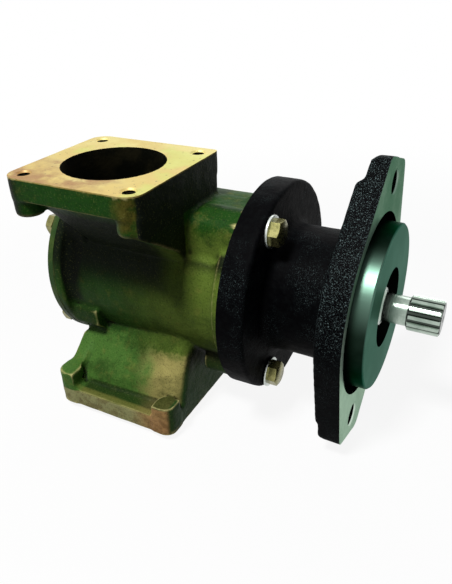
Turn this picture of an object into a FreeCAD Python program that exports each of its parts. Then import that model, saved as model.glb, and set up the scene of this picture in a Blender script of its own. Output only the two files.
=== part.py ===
import FreeCAD, Part
import math
import os

V = FreeCAD.Vector

# Flexible-impeller water pump for an engine, all sizes in millimetres.
# X runs along the shaft towards its splined end, Z is up, and the origin is the
# centre of the engine flange's mating face. Angles are measured about X from +Y.

# Engine flange: two bolts, with a round pilot
PILOT_RADIUS = 50.8
PILOT_LENGTH = 9.5
PILOT_CHAMFER = 1.0
PILOT_GROOVE_WIDTH = 5.6
PILOT_GROOVE_DEPTH = 2.4
FLANGE_BOLT_SPACING = 146.05
FLANGE_HOLE_RADIUS = 7.15
FLANGE_CLOCKING = -19.0
FLANGE_THICKNESS = 16.0
FLANGE_CENTRE_RADIUS = 62.0
FLANGE_BACK_EDGE = 1.6
EAR_PAST_HOLE = 14.375
EAR_END_HALF_WIDTH = 20.0
EAR_CORNER_RADIUS = 9.0
EAR_STEP_BEFORE_HOLE = 1.525
EAR_STEP_SLOPE = 2.2
EAR_STEP_DEPTHS = (1.6, 4.5)
SPOT_FACE_RADIUS = 13.0
SPOT_FACE_DEPTH = 4.5

# Adapter barrel and the round flange that bolts to the body
JOINT_X = -71.8
BARREL_RADIUS = 41.0
BARREL_FILLET = 5.0
ADAPTER_FLANGE_RADIUS = 67.6
ADAPTER_FLANGE_THICKNESS = 16.7
ADAPTER_BOLT_RADIUS = 57.0
ADAPTER_BOLT_ANGLES = (0, 120, 240)
SPIGOT_RADIUS = 36.0
SPIGOT_LENGTH = 2.4
NOSE_BORE_RADIUS = 24.5
NOSE_WALL = 21.5

# Bolts, screws and washers
ADAPTER_BOLT_SHANK = 4.75
ADAPTER_BOLT_LENGTH = 38.0
ADAPTER_BOLT_FLATS = 14.3
ADAPTER_BOLT_HEAD = 6.2
WASHER_RADIUS = 9.8
WASHER_THICKNESS = 1.6
COVER_SCREW_SHANK = 3.95
COVER_SCREW_LENGTH = 18.0
COVER_SCREW_FLATS = 12.7
COVER_SCREW_HEAD = 5.4
COVER_SCREW_FROM_CHAMBER = 7.8
COVER_SCREW_ANGLES = (38, 142, 218, 322)
HOLE_CLEARANCE = 0.4
THREAD_CLEARANCE = 0.05
THREAD_RUN_OUT = 3.0

# Bronze body: barrel and its two round flanges
BODY_WALL = 8.5
BODY_FLANGE_HEIGHT = 4.5
BODY_FLANGE_THICKNESS = 8.2
BODY_FILLET = 6.0
COVER_FLANGE_FILLET = 5.5
COVER_FLANGE_EDGE = 6.8
COVER_FLANGE_THICKNESS = 5.6
COVER_FACE_X = -196.6
COVER_THICKNESS = 5.0
COVER_RIB = 1.6
COVER_RIB_INSET = 4.0
COVER_DISH_INSET = 12.0
LUG_WIDTH = 13.0
LUG_HEIGHT = 14.0
LUG_LENGTH = 14.0
BOLT_BOSS_RADIUS = 10.5
BOLT_BOSS_LENGTH = 26.0

# Port flanges, upper (facing up) and lower (facing down)
PORT_X = -146.5
PORT_FACE_Z = 83.3
PORT_SIZE = 90.1
PORT_CORNER = 10.0
UPPER_SHARP_CORNER = 3.0
LOWER_PORT_CORNER = 7.0
PORT_HOLE_SPACING = 71.3
PORT_HOLE_RADIUS = 4.0
PORT_HOLE_DEPTH = 17.0
PORT_BOSS_RADIUS = 8.6
UPPER_PORT_Y = -45.9
UPPER_PORT_BORE = 30.75
UPPER_RIM = 13.6
UPPER_BOSS_BOTTOM = 59.0
UPPER_BOSS_EDGE = 2.5
LOWER_PORT_Y = -33.5
LOWER_PORT_BORE = 27.0
LOWER_RIM = 12.5
LOWER_BOSS_TOP = -62.0
FRONT_PAD_TOP = -58.0
LOWER_PAD_SIZE = 14.5
LOWER_PAD_CORNER = 6.0

# Necks between the port flanges and the barrel
NECK_CORNER = 7.0
UPPER_NECK_LEFT_TOP = -184.0
UPPER_NECK_LEFT_BOTTOM = -176.0
UPPER_NECK_FRONT_TOP = -84.5
UPPER_NECK_FRONT_BOTTOM = -47.0
UPPER_NECK_BACK_TOP = -6.0
UPPER_NECK_BACK_BOTTOM = -3.0
UPPER_NECK_ROOT_Z = 28.0
WEB_THICKNESS = 8.0
WEB_FRONT_Y = -88.0
WEB_FRONT_Z = 60.0
WEB_ROOT_Z = 33.5
WEB_CORNER = 4.0
LOWER_NECK_LEFT = -190.5
LOWER_NECK_BACK = 4.0
LOWER_NECK_ROOT_Z = -28.0
LOWER_NECK_MIDDLE_Z = -50.0
LOWER_NECK_RIGHT_FRONT = (-49.0, -60.0, -65.0)
LOWER_NECK_LEFT_FRONT = (-35.0, -50.0, -68.0)
LOWER_NECK_LEFT_CORNER = 6.0

# Deck that carries the upper adapter bolt
DECK_TOP_Z = 57.5
DECK_FRONT_Y = -43.0
DECK_BACK_Y = 0.0
DECK_EDGE_RADIUS = 12.0

# Pump chamber and the passages into it
CHAMBER_RADIUS = 46.0
WEAR_PLATE_FACE_X = -115.5
WEAR_PLATE_THICKNESS = 3.0
WEAR_PLATE_HOLE = 19.5
PASSAGE_HALF_LENGTH = 26.0
PASSAGE_FRONT_Y = -38.0
PASSAGE_BACK_Y = -8.0
PASSAGE_CORNER = 10.0
PASSAGE_MOUTH_Z = 34.0
PASSAGE_INNER_Z = 20.0
PIN_RADIUS = 3.0
CAM_PIN_DEPTH = 4.2
CAM_RISE = 6.5
CAM_FACE_RADIUS = 170.0
CAM_HALF_HEIGHT = 22.5
CAM_PIN_IN_CAM = 3.6
WEAR_PIN_RADIUS = 2.0
WEAR_PIN_FROM_WALL = 6.0
WEAR_PIN_LENGTH = 8.0

# Impeller
IMPELLER_GAP = 0.4
VANE_COUNT = 10
VANE_TIP_RADIUS = 3.2
VANE_ROOT_HALF = 3.0
RUBBER_HUB_RADIUS = 27.5
METAL_HUB_RADIUS = 17.0
KEY_WIDTH = 6.0
KEY_HEIGHT = 6.0
KEY_LENGTH = 56.0
FIT = 0.05

# Shaft
SHAFT_PUMP_RADIUS = 11.0
SHAFT_BEARING_RADIUS = 12.5
SHAFT_COLLAR_RADIUS = 15.5
SHAFT_COLLAR_LENGTH = 2.5
SHAFT_NECK_RADIUS = 8.8
SHAFT_END_X = 41.3
SHAFT_PUMP_END_X = -190.0
JOURNAL_END_X = 6.5
SPLINE_START_X = 22.0
SPLINE_TEETH = 13
SPLINE_TIP_RADIUS = 10.8
SPLINE_ROOT_RADIUS = 9.2
SPLINE_TIP_HALF = 1.05
SPLINE_ROOT_HALF = 1.65
SPLINE_CHAMFER = 1.0

# Ball bearings, both alike
BEARING_RADIUS = 31.0
BEARING_WIDTH = 17.0
BALL_RADIUS = 5.75
BALL_COUNT = 7
BALL_GAP = 0.06
INNER_RING_WALL = 5.7
OUTER_RING_WALL = 5.4
RING_CHAMFER = 1.0
CAGE_HALF_THICKNESS = 1.1
CAGE_HALF_WIDTH = 7.0
CAGE_POCKET_GAP = 0.25
SPACER_LENGTH = 13.5
SPACER_WALL = 2.5
HOUSING_RING_THICKNESS = 2.0
HOUSING_RING_WIDTH = 4.6
HOUSING_RING_SEAT = 1.5
SHAFT_RING_THICKNESS = 1.5
SHAFT_RING_WIDTH = 2.4
SHAFT_RING_SEAT = 0.9
RING_OPENING = 24.0

# Seals
LIP_SEAL_WIDTH = 7.5
LIP_CASE_WALL = 1.6
LIP_SEAL_NECK = 20.0
LIP_THICKNESS = 2.5
LIP_HEEL = 2.4
LIP_BACK = 3.4
LIP_EDGE = 4.2
LIP_EDGE_WIDTH = 1.0
LIP_NOSE = 2.0
SLINGER_RADIUS = 20.0
SLINGER_WIDTH = 3.0
SLINGER_X = -77.0
DRY_CHAMBER_RADIUS = 31.0
DRY_CHAMBER_DEPTH = 8.2
WEEP_HOLE_RADIUS = 2.6
WEEP_HOLE_X = -77.2
SEAL_WEB = 4.0
SEAL_WEB_BORE = 14.5
SEAT_BORE_RADIUS = 21.0
SEAT_BORE_DEPTH = 10.0
SEAL_CHAMBER_RADIUS = 24.0
SEAT_RADIUS = 17.5
SEAT_BORE = 12.6
SEAT_STAND_OUT = 1.5
CUP_FLOOR = 2.0
FACE_GAP = 0.1
CARBON_LENGTH = 6.4
CARBON_RADIUS = 16.5
BELLOWS_RADIUS = 13.4
RETAINER_RADIUS = 18.4
RETAINER_WALL = 1.2
RETAINER_SKIRT = 4.0
SPRING_RADIUS = 15.6
SPRING_WIRE = 0.9
SPRING_TURNS = 3
O_RING_FROM_CHAMBER = 2.3
O_RING_RADIUS = 1.15
O_RING_GROOVE = 2.5

# Places and radii that follow from the sizes above
EAR_END = FLANGE_BOLT_SPACING / 2 + EAR_PAST_HOLE
EAR_STEP_AT = FLANGE_BOLT_SPACING / 2 - EAR_STEP_BEFORE_HOLE
BODY_RADIUS = CHAMBER_RADIUS + BODY_WALL
BODY_FLANGE_RADIUS = BODY_RADIUS + BODY_FLANGE_HEIGHT
COVER_SCREW_CIRCLE = CHAMBER_RADIUS + COVER_SCREW_FROM_CHAMBER
COVER_FLANGE_RADIUS = COVER_SCREW_CIRCLE + COVER_FLANGE_EDGE
O_RING_CIRCLE = CHAMBER_RADIUS + O_RING_FROM_CHAMBER
WEAR_PIN_CIRCLE = CHAMBER_RADIUS - WEAR_PIN_FROM_WALL
BEARING_PITCH = (BEARING_RADIUS + SHAFT_BEARING_RADIUS) / 2
INNER_RING_RADIUS = SHAFT_BEARING_RADIUS + INNER_RING_WALL
OUTER_RING_BORE = BEARING_RADIUS - OUTER_RING_WALL
ADAPTER_FLANGE_X = JOINT_X + ADAPTER_FLANGE_THICKNESS
NECK_RIGHT_X = PORT_X + PORT_SIZE / 2
FLANGE_ROOT_X = -FLANGE_THICKNESS - BARREL_FILLET
BODY_FLANGE_X = JOINT_X - BODY_FLANGE_THICKNESS
COVER_FLANGE_X = COVER_FACE_X + COVER_FLANGE_THICKNESS
CHAMBER_END_X = WEAR_PLATE_FACE_X + WEAR_PLATE_THICKNESS
SHOULDER_X = PILOT_LENGTH - NOSE_WALL
FRONT_BEARING_X = SHOULDER_X - BEARING_WIDTH
REAR_BEARING_X = FRONT_BEARING_X - SPACER_LENGTH - BEARING_WIDTH
DRY_CHAMBER_X = JOINT_X - DRY_CHAMBER_DEPTH
SEAL_WEB_X = DRY_CHAMBER_X - SEAL_WEB
SEAT_BORE_X = SEAL_WEB_X - SEAT_BORE_DEPTH
SEAT_FACE_X = SEAT_BORE_X - SEAT_STAND_OUT
CARBON_X = SEAT_FACE_X - FACE_GAP - CARBON_LENGTH
IMPELLER_X = COVER_FACE_X + IMPELLER_GAP
IMPELLER_END_X = WEAR_PLATE_FACE_X - IMPELLER_GAP


def outline(corners, place):
    """Closed wire through the corners (a, b, radius), each rounded by its radius."""
    flat = [V(corner[0], corner[1], 0) for corner in corners]
    starts = []
    middles = []
    ends = []
    for index, here in enumerate(flat):
        radius = corners[index][2]
        back = (flat[index - 1] - here).normalize()
        ahead = (flat[(index + 1) % len(flat)] - here).normalize()
        half = back.getAngle(ahead) / 2
        reach = radius / math.tan(half)
        centre = here + (back + ahead).normalize() * (radius / math.sin(half)) if radius else here
        starts.append(here + back * reach)
        middles.append(centre + (here - centre).normalize() * radius if radius else here)
        ends.append(here + ahead * reach)
    edges = []
    for index in range(len(flat)):
        start, end = starts[index], ends[index]
        if corners[index][2]:
            edges.append(Part.Arc(place(start), place(middles[index]), place(end)).toShape())
        following = starts[(index + 1) % len(flat)]
        if (following - end).Length > 1e-6:
            edges.append(Part.LineSegment(place(end), place(following)).toShape())
    return Part.Wire(edges)


def turned(corners):
    """Solid of revolution about X from corners (x, radius, fillet)."""
    face = Part.Face(outline(corners, lambda p: V(p.x, 0, p.y)))
    return face.revolve(V(0, 0, 0), V(1, 0, 0), 360)


def prism_x(corners, x_low, x_high):
    """Solid with its outline in the YZ plane, between two places along X."""
    face = Part.Face(outline(corners, lambda p: V(x_low, p.x, p.y)))
    return face.extrude(V(x_high - x_low, 0, 0))


def prism_z(corners, z_low, z_high):
    """Solid with its outline in the XY plane, between two heights."""
    face = Part.Face(outline(corners, lambda p: V(p.x, p.y, z_low)))
    return face.extrude(V(0, 0, z_high - z_low))


def disc_x(radius, x_low, x_high, y=0, z=0):
    """Round bar along X."""
    return Part.makeCylinder(radius, x_high - x_low, V(x_low, y, z), V(1, 0, 0))


def ring_x(outer, inner, x_low, x_high, chamfer=0):
    """Plain ring along X, with its outer edges broken."""
    corners = [(x_low, inner, 0), (x_high, inner, 0)]
    if chamfer:
        corners += [(x_high, outer - chamfer, 0), (x_high - chamfer, outer, 0)]
        corners += [(x_low + chamfer, outer, 0), (x_low, outer - chamfer, 0)]
    else:
        corners += [(x_high, outer, 0), (x_low, outer, 0)]
    return turned(corners)


def rectangle(a_low, a_high, b_low, b_high, radius):
    """Corners of a rectangle with one radius on each."""
    return [(a_low, b_low, radius), (a_high, b_low, radius),
            (a_high, b_high, radius), (a_low, b_high, radius)]


def around(angle, radius):
    """Y and Z of a place on a circle about the shaft."""
    turn = math.radians(angle)
    return radius * math.cos(turn), radius * math.sin(turn)


def rotated(shape, angle):
    """Copy of a shape, turned about the shaft."""
    copy = shape.copy()
    copy.rotate(V(0, 0, 0), V(1, 0, 0), angle)
    return copy


def hexagon_x(flats, x_low, x_high, y, z):
    """Hexagonal head along X."""
    corner = flats / math.sqrt(3)
    points = []
    for side in range(6):
        turn = math.radians(60 * side)
        points.append((y + corner * math.cos(turn), z + corner * math.sin(turn), 0))
    return prism_x(points, x_low, x_high)


def port_corner_places(port_y):
    """X and Y of a port flange's four holes."""
    half = PORT_HOLE_SPACING / 2
    return [(PORT_X + sx * half, port_y + sy * half) for sx in (-1, 1) for sy in (-1, 1)]


def upper_plate():
    """Square plate of the upper port flange, sharp at the corner that the neck runs into."""
    half = PORT_SIZE / 2
    corners = rectangle(PORT_X - half, PORT_X + half, UPPER_PORT_Y - half, UPPER_PORT_Y + half,
                        PORT_CORNER)
    corners[2] = (PORT_X + half, UPPER_PORT_Y + half, UPPER_SHARP_CORNER)
    return prism_z(corners, PORT_FACE_Z - UPPER_RIM, PORT_FACE_Z)


def lower_plate():
    """Square plate of the lower port flange, which is also the foot."""
    half = PORT_SIZE / 2
    corners = rectangle(PORT_X - half, PORT_X + half, LOWER_PORT_Y - half, LOWER_PORT_Y + half,
                        LOWER_PORT_CORNER)
    return prism_z(corners, -PORT_FACE_Z, LOWER_RIM - PORT_FACE_Z)


def section(x_low, x_high, y_low, y_high, radius, z):
    """Rounded rectangular wire at one height, for a loft."""
    return outline(rectangle(x_low, x_high, y_low, y_high, radius), lambda p: V(p.x, p.y, z))


def upper_neck():
    """Outside of the upper neck, which leans out from the barrel to the port flange."""
    top_z = PORT_FACE_Z - UPPER_RIM
    top = section(UPPER_NECK_LEFT_TOP, NECK_RIGHT_X, UPPER_NECK_FRONT_TOP,
                  UPPER_NECK_BACK_TOP, NECK_CORNER, top_z)
    bottom = section(UPPER_NECK_LEFT_BOTTOM, NECK_RIGHT_X, UPPER_NECK_FRONT_BOTTOM,
                     UPPER_NECK_BACK_BOTTOM, NECK_CORNER, UPPER_NECK_ROOT_Z)
    return Part.makeLoft([bottom, top], True, True)


def upper_web():
    """Flat web down the drive side of the upper neck, from the front boss to the barrel."""
    top_z = PORT_FACE_Z - UPPER_RIM
    corners = [(WEB_FRONT_Y, top_z, 0),
               (UPPER_NECK_BACK_BOTTOM, top_z, 0),
               (UPPER_NECK_BACK_BOTTOM, UPPER_NECK_ROOT_Z, 0),
               (UPPER_NECK_FRONT_BOTTOM, WEB_ROOT_Z, 0),
               (WEB_FRONT_Y, WEB_FRONT_Z, WEB_CORNER)]
    return prism_x(corners, NECK_RIGHT_X - WEB_THICKNESS, NECK_RIGHT_X)


def lower_neck():
    """Outside of the lower neck, which bellies out from the barrel to the foot."""
    heights = (LOWER_NECK_ROOT_Z, LOWER_NECK_MIDDLE_Z, LOWER_RIM - PORT_FACE_Z)
    wires = []
    for z, left_front, right_front in zip(heights, LOWER_NECK_LEFT_FRONT, LOWER_NECK_RIGHT_FRONT):
        corners = [(LOWER_NECK_LEFT, left_front, LOWER_NECK_LEFT_CORNER),
                   (NECK_RIGHT_X, right_front, NECK_CORNER),
                   (NECK_RIGHT_X, LOWER_NECK_BACK, NECK_CORNER),
                   (LOWER_NECK_LEFT, LOWER_NECK_BACK, LOWER_NECK_LEFT_CORNER)]
        wires.append(outline(corners, lambda p, z=z: V(p.x, p.y, z)))
    return Part.makeLoft(wires, True, False)


def deck():
    """Flat-topped block that carries the upper adapter bolt."""
    corners = [(DECK_FRONT_Y, 0, 0), (DECK_BACK_Y, 0, 0),
               (DECK_BACK_Y, DECK_TOP_Z, DECK_EDGE_RADIUS / 2),
               (DECK_FRONT_Y, DECK_TOP_Z, DECK_EDGE_RADIUS)]
    return prism_x(corners, NECK_RIGHT_X - WEB_THICKNESS, JOINT_X)


def cover_lugs():
    """Square lugs behind the cover flange, one for each cover screw."""
    lugs = []
    for angle in COVER_SCREW_ANGLES:
        y, z = around(angle, COVER_SCREW_CIRCLE)
        corners = rectangle(y - LUG_WIDTH / 2, y + LUG_WIDTH / 2,
                            z - LUG_HEIGHT / 2, z + LUG_HEIGHT / 2, 2)
        lugs.append(prism_x(corners, COVER_FLANGE_X, COVER_FLANGE_X + LUG_LENGTH))
    return lugs


def bolt_bosses():
    """Round bosses behind the drive-end flange, one for each adapter bolt."""
    bosses = []
    for angle in ADAPTER_BOLT_ANGLES:
        y, z = around(angle, ADAPTER_BOLT_RADIUS - 0.6)
        bosses.append(disc_x(BOLT_BOSS_RADIUS, JOINT_X - BOLT_BOSS_LENGTH, JOINT_X, y, z))
    return bosses


def foot_pads():
    """Raised pads on the corners of the foot, over its tapped holes."""
    pads = []
    half = PORT_SIZE / 2
    for side_x in (-1, 1):
        for side_y in (-1, 1):
            outer_x = PORT_X + side_x * half
            outer_y = LOWER_PORT_Y + side_y * half
            inner_x = outer_x - side_x * LOWER_PAD_SIZE
            inner_y = outer_y - side_y * LOWER_PAD_SIZE
            corners = [(outer_x, outer_y, LOWER_PORT_CORNER), (inner_x, outer_y, 0),
                       (inner_x, inner_y, LOWER_PAD_CORNER), (outer_x, inner_y, 0)]
            top_z = FRONT_PAD_TOP if side_x < 0 and side_y < 0 else LOWER_BOSS_TOP
            pads.append(prism_z(corners, LOWER_RIM - PORT_FACE_Z, top_z))
    return pads


def body_casting():
    """Outside of the body, before any machining."""
    barrel = turned([
        (COVER_FACE_X, 0, 0),
        (COVER_FACE_X, COVER_FLANGE_RADIUS, 1),
        (COVER_FLANGE_X, COVER_FLANGE_RADIUS, 0),
        (COVER_FLANGE_X, BODY_RADIUS, COVER_FLANGE_FILLET),
        (BODY_FLANGE_X, BODY_RADIUS, BODY_FLANGE_RADIUS - BODY_RADIUS - 0.5),
        (BODY_FLANGE_X, BODY_FLANGE_RADIUS, 1),
        (JOINT_X, BODY_FLANGE_RADIUS, 0),
        (JOINT_X, 0, 0)])
    boss = turned([(UPPER_BOSS_BOTTOM, 0, 0), (UPPER_BOSS_BOTTOM, PORT_BOSS_RADIUS, UPPER_BOSS_EDGE),
                   (PORT_FACE_Z - 1, PORT_BOSS_RADIUS, 0), (PORT_FACE_Z - 1, 0, 0)])
    boss.rotate(V(0, 0, 0), V(0, 1, 0), -90)
    upper_bosses = []
    for x, y in port_corner_places(UPPER_PORT_Y):
        upper_bosses.append(boss.translated(V(x, y, 0)))
    pieces = [upper_plate(), upper_neck(), upper_web(), lower_plate(), lower_neck(), deck()]
    pieces += upper_bosses + foot_pads() + cover_lugs() + bolt_bosses()
    return barrel.multiFuse(pieces)


def passage(port_y, bore, side):
    """Hollow from a port face to the chamber. Side is 1 for the upper port, -1 for the lower."""
    mouth = side * PORT_FACE_Z
    throat = side * (PORT_FACE_Z - (UPPER_RIM if side > 0 else LOWER_RIM))
    straight = Part.makeCylinder(bore, abs(mouth - throat) + 1,
                                 V(PORT_X, port_y, min(mouth, throat)
                                   - (1 if side < 0 else 0)))
    high = section(PORT_X - bore, PORT_X + bore, port_y - bore, port_y + bore,
                   bore - 0.01, throat)
    low = section(PORT_X - PASSAGE_HALF_LENGTH, PORT_X + PASSAGE_HALF_LENGTH,
                  PASSAGE_FRONT_Y, PASSAGE_BACK_Y, PASSAGE_CORNER, side * PASSAGE_MOUTH_Z)
    taper = Part.makeLoft([high, low], True, True)
    inner = prism_z(rectangle(PORT_X - PASSAGE_HALF_LENGTH, PORT_X + PASSAGE_HALF_LENGTH,
                              PASSAGE_FRONT_Y, PASSAGE_BACK_Y, PASSAGE_CORNER),
                    min(side * PASSAGE_MOUTH_Z, side * PASSAGE_INNER_Z),
                    max(side * PASSAGE_MOUTH_Z, side * PASSAGE_INNER_Z))
    return straight.multiFuse([taper, inner])


def body_hollows():
    """Everything that is bored, tapped or cored out of the body."""
    hollows = [
        disc_x(CHAMBER_RADIUS, COVER_FACE_X - 1, CHAMBER_END_X),
        disc_x(SEAL_CHAMBER_RADIUS, CHAMBER_END_X - 1, SEAT_BORE_X),
        disc_x(SEAT_BORE_RADIUS, SEAT_BORE_X - 1, SEAL_WEB_X),
        disc_x(SEAL_WEB_BORE, SEAL_WEB_X - 1, DRY_CHAMBER_X + 1),
        disc_x(DRY_CHAMBER_RADIUS, DRY_CHAMBER_X, JOINT_X + 1),
        disc_x(SPIGOT_RADIUS + FIT, JOINT_X - SPIGOT_LENGTH - FIT, JOINT_X + 1),
        passage(UPPER_PORT_Y, UPPER_PORT_BORE, 1),
        passage(LOWER_PORT_Y, LOWER_PORT_BORE, -1),
        ring_x(O_RING_CIRCLE + O_RING_RADIUS + FIT, O_RING_CIRCLE - O_RING_RADIUS - FIT,
               COVER_FACE_X - 1, COVER_FACE_X + O_RING_GROOVE),
        Part.makeCylinder(WEEP_HOLE_RADIUS, BODY_FLANGE_RADIUS,
                          V(WEEP_HOLE_X, 0, 0), V(0, 0, -1)),
        Part.makeCylinder(PIN_RADIUS + FIT, CAM_PIN_DEPTH + 2,
                          V(PORT_X, 2 - CHAMBER_RADIUS, 0), V(0, -1, 0)),
        disc_x(WEAR_PIN_RADIUS + FIT, CHAMBER_END_X - 1,
               WEAR_PLATE_FACE_X + WEAR_PIN_LENGTH + FIT, WEAR_PIN_CIRCLE, 0)]
    for x, y in port_corner_places(UPPER_PORT_Y):
        hollows.append(Part.makeCylinder(PORT_HOLE_RADIUS, PORT_HOLE_DEPTH + 1,
                                         V(x, y, PORT_FACE_Z - PORT_HOLE_DEPTH)))
    for x, y in port_corner_places(LOWER_PORT_Y):
        hollows.append(Part.makeCylinder(PORT_HOLE_RADIUS, PORT_HOLE_DEPTH + 1,
                                         V(x, y, -PORT_FACE_Z - 1)))
    bolt_reach = ADAPTER_BOLT_LENGTH - WASHER_THICKNESS - ADAPTER_FLANGE_THICKNESS
    for angle in ADAPTER_BOLT_ANGLES:
        y, z = around(angle, ADAPTER_BOLT_RADIUS)
        hollows.append(disc_x(ADAPTER_BOLT_SHANK + THREAD_CLEARANCE,
                              JOINT_X - bolt_reach - THREAD_RUN_OUT, JOINT_X + 1, y, z))
    screw_reach = COVER_SCREW_LENGTH - COVER_THICKNESS
    for angle in COVER_SCREW_ANGLES:
        y, z = around(angle, COVER_SCREW_CIRCLE)
        hollows.append(disc_x(COVER_SCREW_SHANK + THREAD_CLEARANCE, COVER_FACE_X - 1,
                              COVER_FACE_X + screw_reach + THREAD_RUN_OUT, y, z))
    return hollows


def pump_body():
    """Bronze casting with its chamber, passages, bores and tapped holes."""
    return body_casting().cut(body_hollows())


def end_cover():
    """Round plate over the chamber, with a raised ring on its outside."""
    outer_x = COVER_FACE_X - COVER_THICKNESS
    plate = turned([(outer_x, 0, 0), (outer_x, COVER_FLANGE_RADIUS, 1.5),
                    (COVER_FACE_X, COVER_FLANGE_RADIUS, 0), (COVER_FACE_X, 0, 0)])
    ring = turned([(outer_x - COVER_RIB, 0, 0), (outer_x - COVER_RIB, CHAMBER_RADIUS - COVER_RIB_INSET, 1),
                   (outer_x + 1, CHAMBER_RADIUS - COVER_RIB_INSET, 0), (outer_x + 1, 0, 0)])
    dish = disc_x(CHAMBER_RADIUS - COVER_DISH_INSET, outer_x - COVER_RIB - 1, outer_x)
    holes = []
    for angle in COVER_SCREW_ANGLES:
        y, z = around(angle, COVER_SCREW_CIRCLE)
        holes.append(disc_x(COVER_SCREW_SHANK + HOLE_CLEARANCE, outer_x - 1,
                            COVER_FACE_X + 1, y, z))
    return plate.fuse(ring).cut([dish] + holes)


def cover_screws():
    """Hexagon screws that hold the end cover, heads outside."""
    outer_x = COVER_FACE_X - COVER_THICKNESS
    screws = []
    for angle in COVER_SCREW_ANGLES:
        y, z = around(angle, COVER_SCREW_CIRCLE)
        head = hexagon_x(COVER_SCREW_FLATS, outer_x - COVER_SCREW_HEAD, outer_x, y, z)
        crown = turned_about(y, z, [(outer_x - COVER_SCREW_HEAD, 0, 0),
                                    (outer_x - COVER_SCREW_HEAD, COVER_SCREW_FLATS / 2 - 0.3, 0),
                                    (outer_x - COVER_SCREW_HEAD + 1,
                                     COVER_SCREW_FLATS / math.sqrt(3) + 0.1, 0),
                                    (outer_x, COVER_SCREW_FLATS / math.sqrt(3) + 0.1, 0),
                                    (outer_x, 0, 0)])
        shank = disc_x(COVER_SCREW_SHANK, outer_x, outer_x + COVER_SCREW_LENGTH, y, z)
        screws.append(head.common(crown).fuse(shank))
    return screws


def turned_about(y, z, corners):
    """Solid of revolution about an axis along X through (y, z)."""
    shape = turned(corners)
    shape.translate(V(0, y, z))
    return shape


def adapter_bolts():
    """Hexagon bolts through the adapter's round flange into the body."""
    seat_x = ADAPTER_FLANGE_X + WASHER_THICKNESS
    top_x = seat_x + ADAPTER_BOLT_HEAD
    corner = ADAPTER_BOLT_FLATS / math.sqrt(3) + 0.1
    bolts = []
    for angle in ADAPTER_BOLT_ANGLES:
        y, z = around(angle, ADAPTER_BOLT_RADIUS)
        head = hexagon_x(ADAPTER_BOLT_FLATS, seat_x, top_x, y, z)
        crown = turned_about(y, z, [(seat_x, 0, 0), (seat_x, corner, 0), (top_x - 1, corner, 0),
                                    (top_x, ADAPTER_BOLT_FLATS / 2 - 0.3, 0), (top_x, 0, 0)])
        shank = disc_x(ADAPTER_BOLT_SHANK, seat_x - ADAPTER_BOLT_LENGTH, seat_x, y, z)
        bolts.append(head.common(crown).fuse(shank))
    return bolts


def adapter_washers():
    """Plain washers under the adapter bolts."""
    washers = []
    for angle in ADAPTER_BOLT_ANGLES:
        y, z = around(angle, ADAPTER_BOLT_RADIUS)
        washer = ring_x(WASHER_RADIUS, ADAPTER_BOLT_SHANK + HOLE_CLEARANCE,
                        ADAPTER_FLANGE_X, ADAPTER_FLANGE_X + WASHER_THICKNESS, 0.3)
        washer.translate(V(0, y, z))
        washers.append(washer)
    return washers


def flange_plate():
    """Two-bolt engine flange, upright: straight sides run off its round middle to each ear."""
    reach = math.hypot(EAR_END_HALF_WIDTH, EAR_END)
    lean = math.atan2(EAR_END, EAR_END_HALF_WIDTH) - math.acos(FLANGE_CENTRE_RADIUS / reach)
    meeting_y = FLANGE_CENTRE_RADIUS / math.cos(lean)
    corners = [(EAR_END_HALF_WIDTH, -EAR_END, EAR_CORNER_RADIUS),
               (meeting_y, 0, FLANGE_CENTRE_RADIUS),
               (EAR_END_HALF_WIDTH, EAR_END, EAR_CORNER_RADIUS),
               (-EAR_END_HALF_WIDTH, EAR_END, EAR_CORNER_RADIUS),
               (-meeting_y, 0, FLANGE_CENTRE_RADIUS),
               (-EAR_END_HALF_WIDTH, -EAR_END, EAR_CORNER_RADIUS)]
    plate = prism_x(corners, -FLANGE_THICKNESS, 0)
    back_edges = [edge for edge in plate.Edges
                  if edge.BoundBox.XMax < -FLANGE_THICKNESS + 0.01]
    return plate.makeFillet(FLANGE_BACK_EDGE, back_edges)


def flange_cuts():
    """Bolt holes, spot faces and stepped ear backs of the engine flange, upright."""
    cuts = []
    back_x = -FLANGE_THICKNESS
    for side, depth in zip((-1, 1), EAR_STEP_DEPTHS):
        hole_z = side * FLANGE_BOLT_SPACING / 2
        cuts.append(disc_x(FLANGE_HOLE_RADIUS, back_x - 1, 1, 0, hole_z))
        cuts.append(disc_x(SPOT_FACE_RADIUS, back_x - 1, back_x + SPOT_FACE_DEPTH, 0, hole_z))
        wedge = [V(back_x - 1, -FLANGE_CENTRE_RADIUS, side * (EAR_STEP_AT - EAR_STEP_SLOPE)),
                 V(back_x + depth, -FLANGE_CENTRE_RADIUS, side * (EAR_STEP_AT + EAR_STEP_SLOPE)),
                 V(back_x + depth, -FLANGE_CENTRE_RADIUS, side * (EAR_END + 1)),
                 V(back_x - 1, -FLANGE_CENTRE_RADIUS, side * (EAR_END + 1))]
        face = Part.Face(Part.makePolygon(wedge + wedge[:1]))
        cuts.append(face.extrude(V(0, 2 * FLANGE_CENTRE_RADIUS, 0)))
    return cuts


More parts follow.
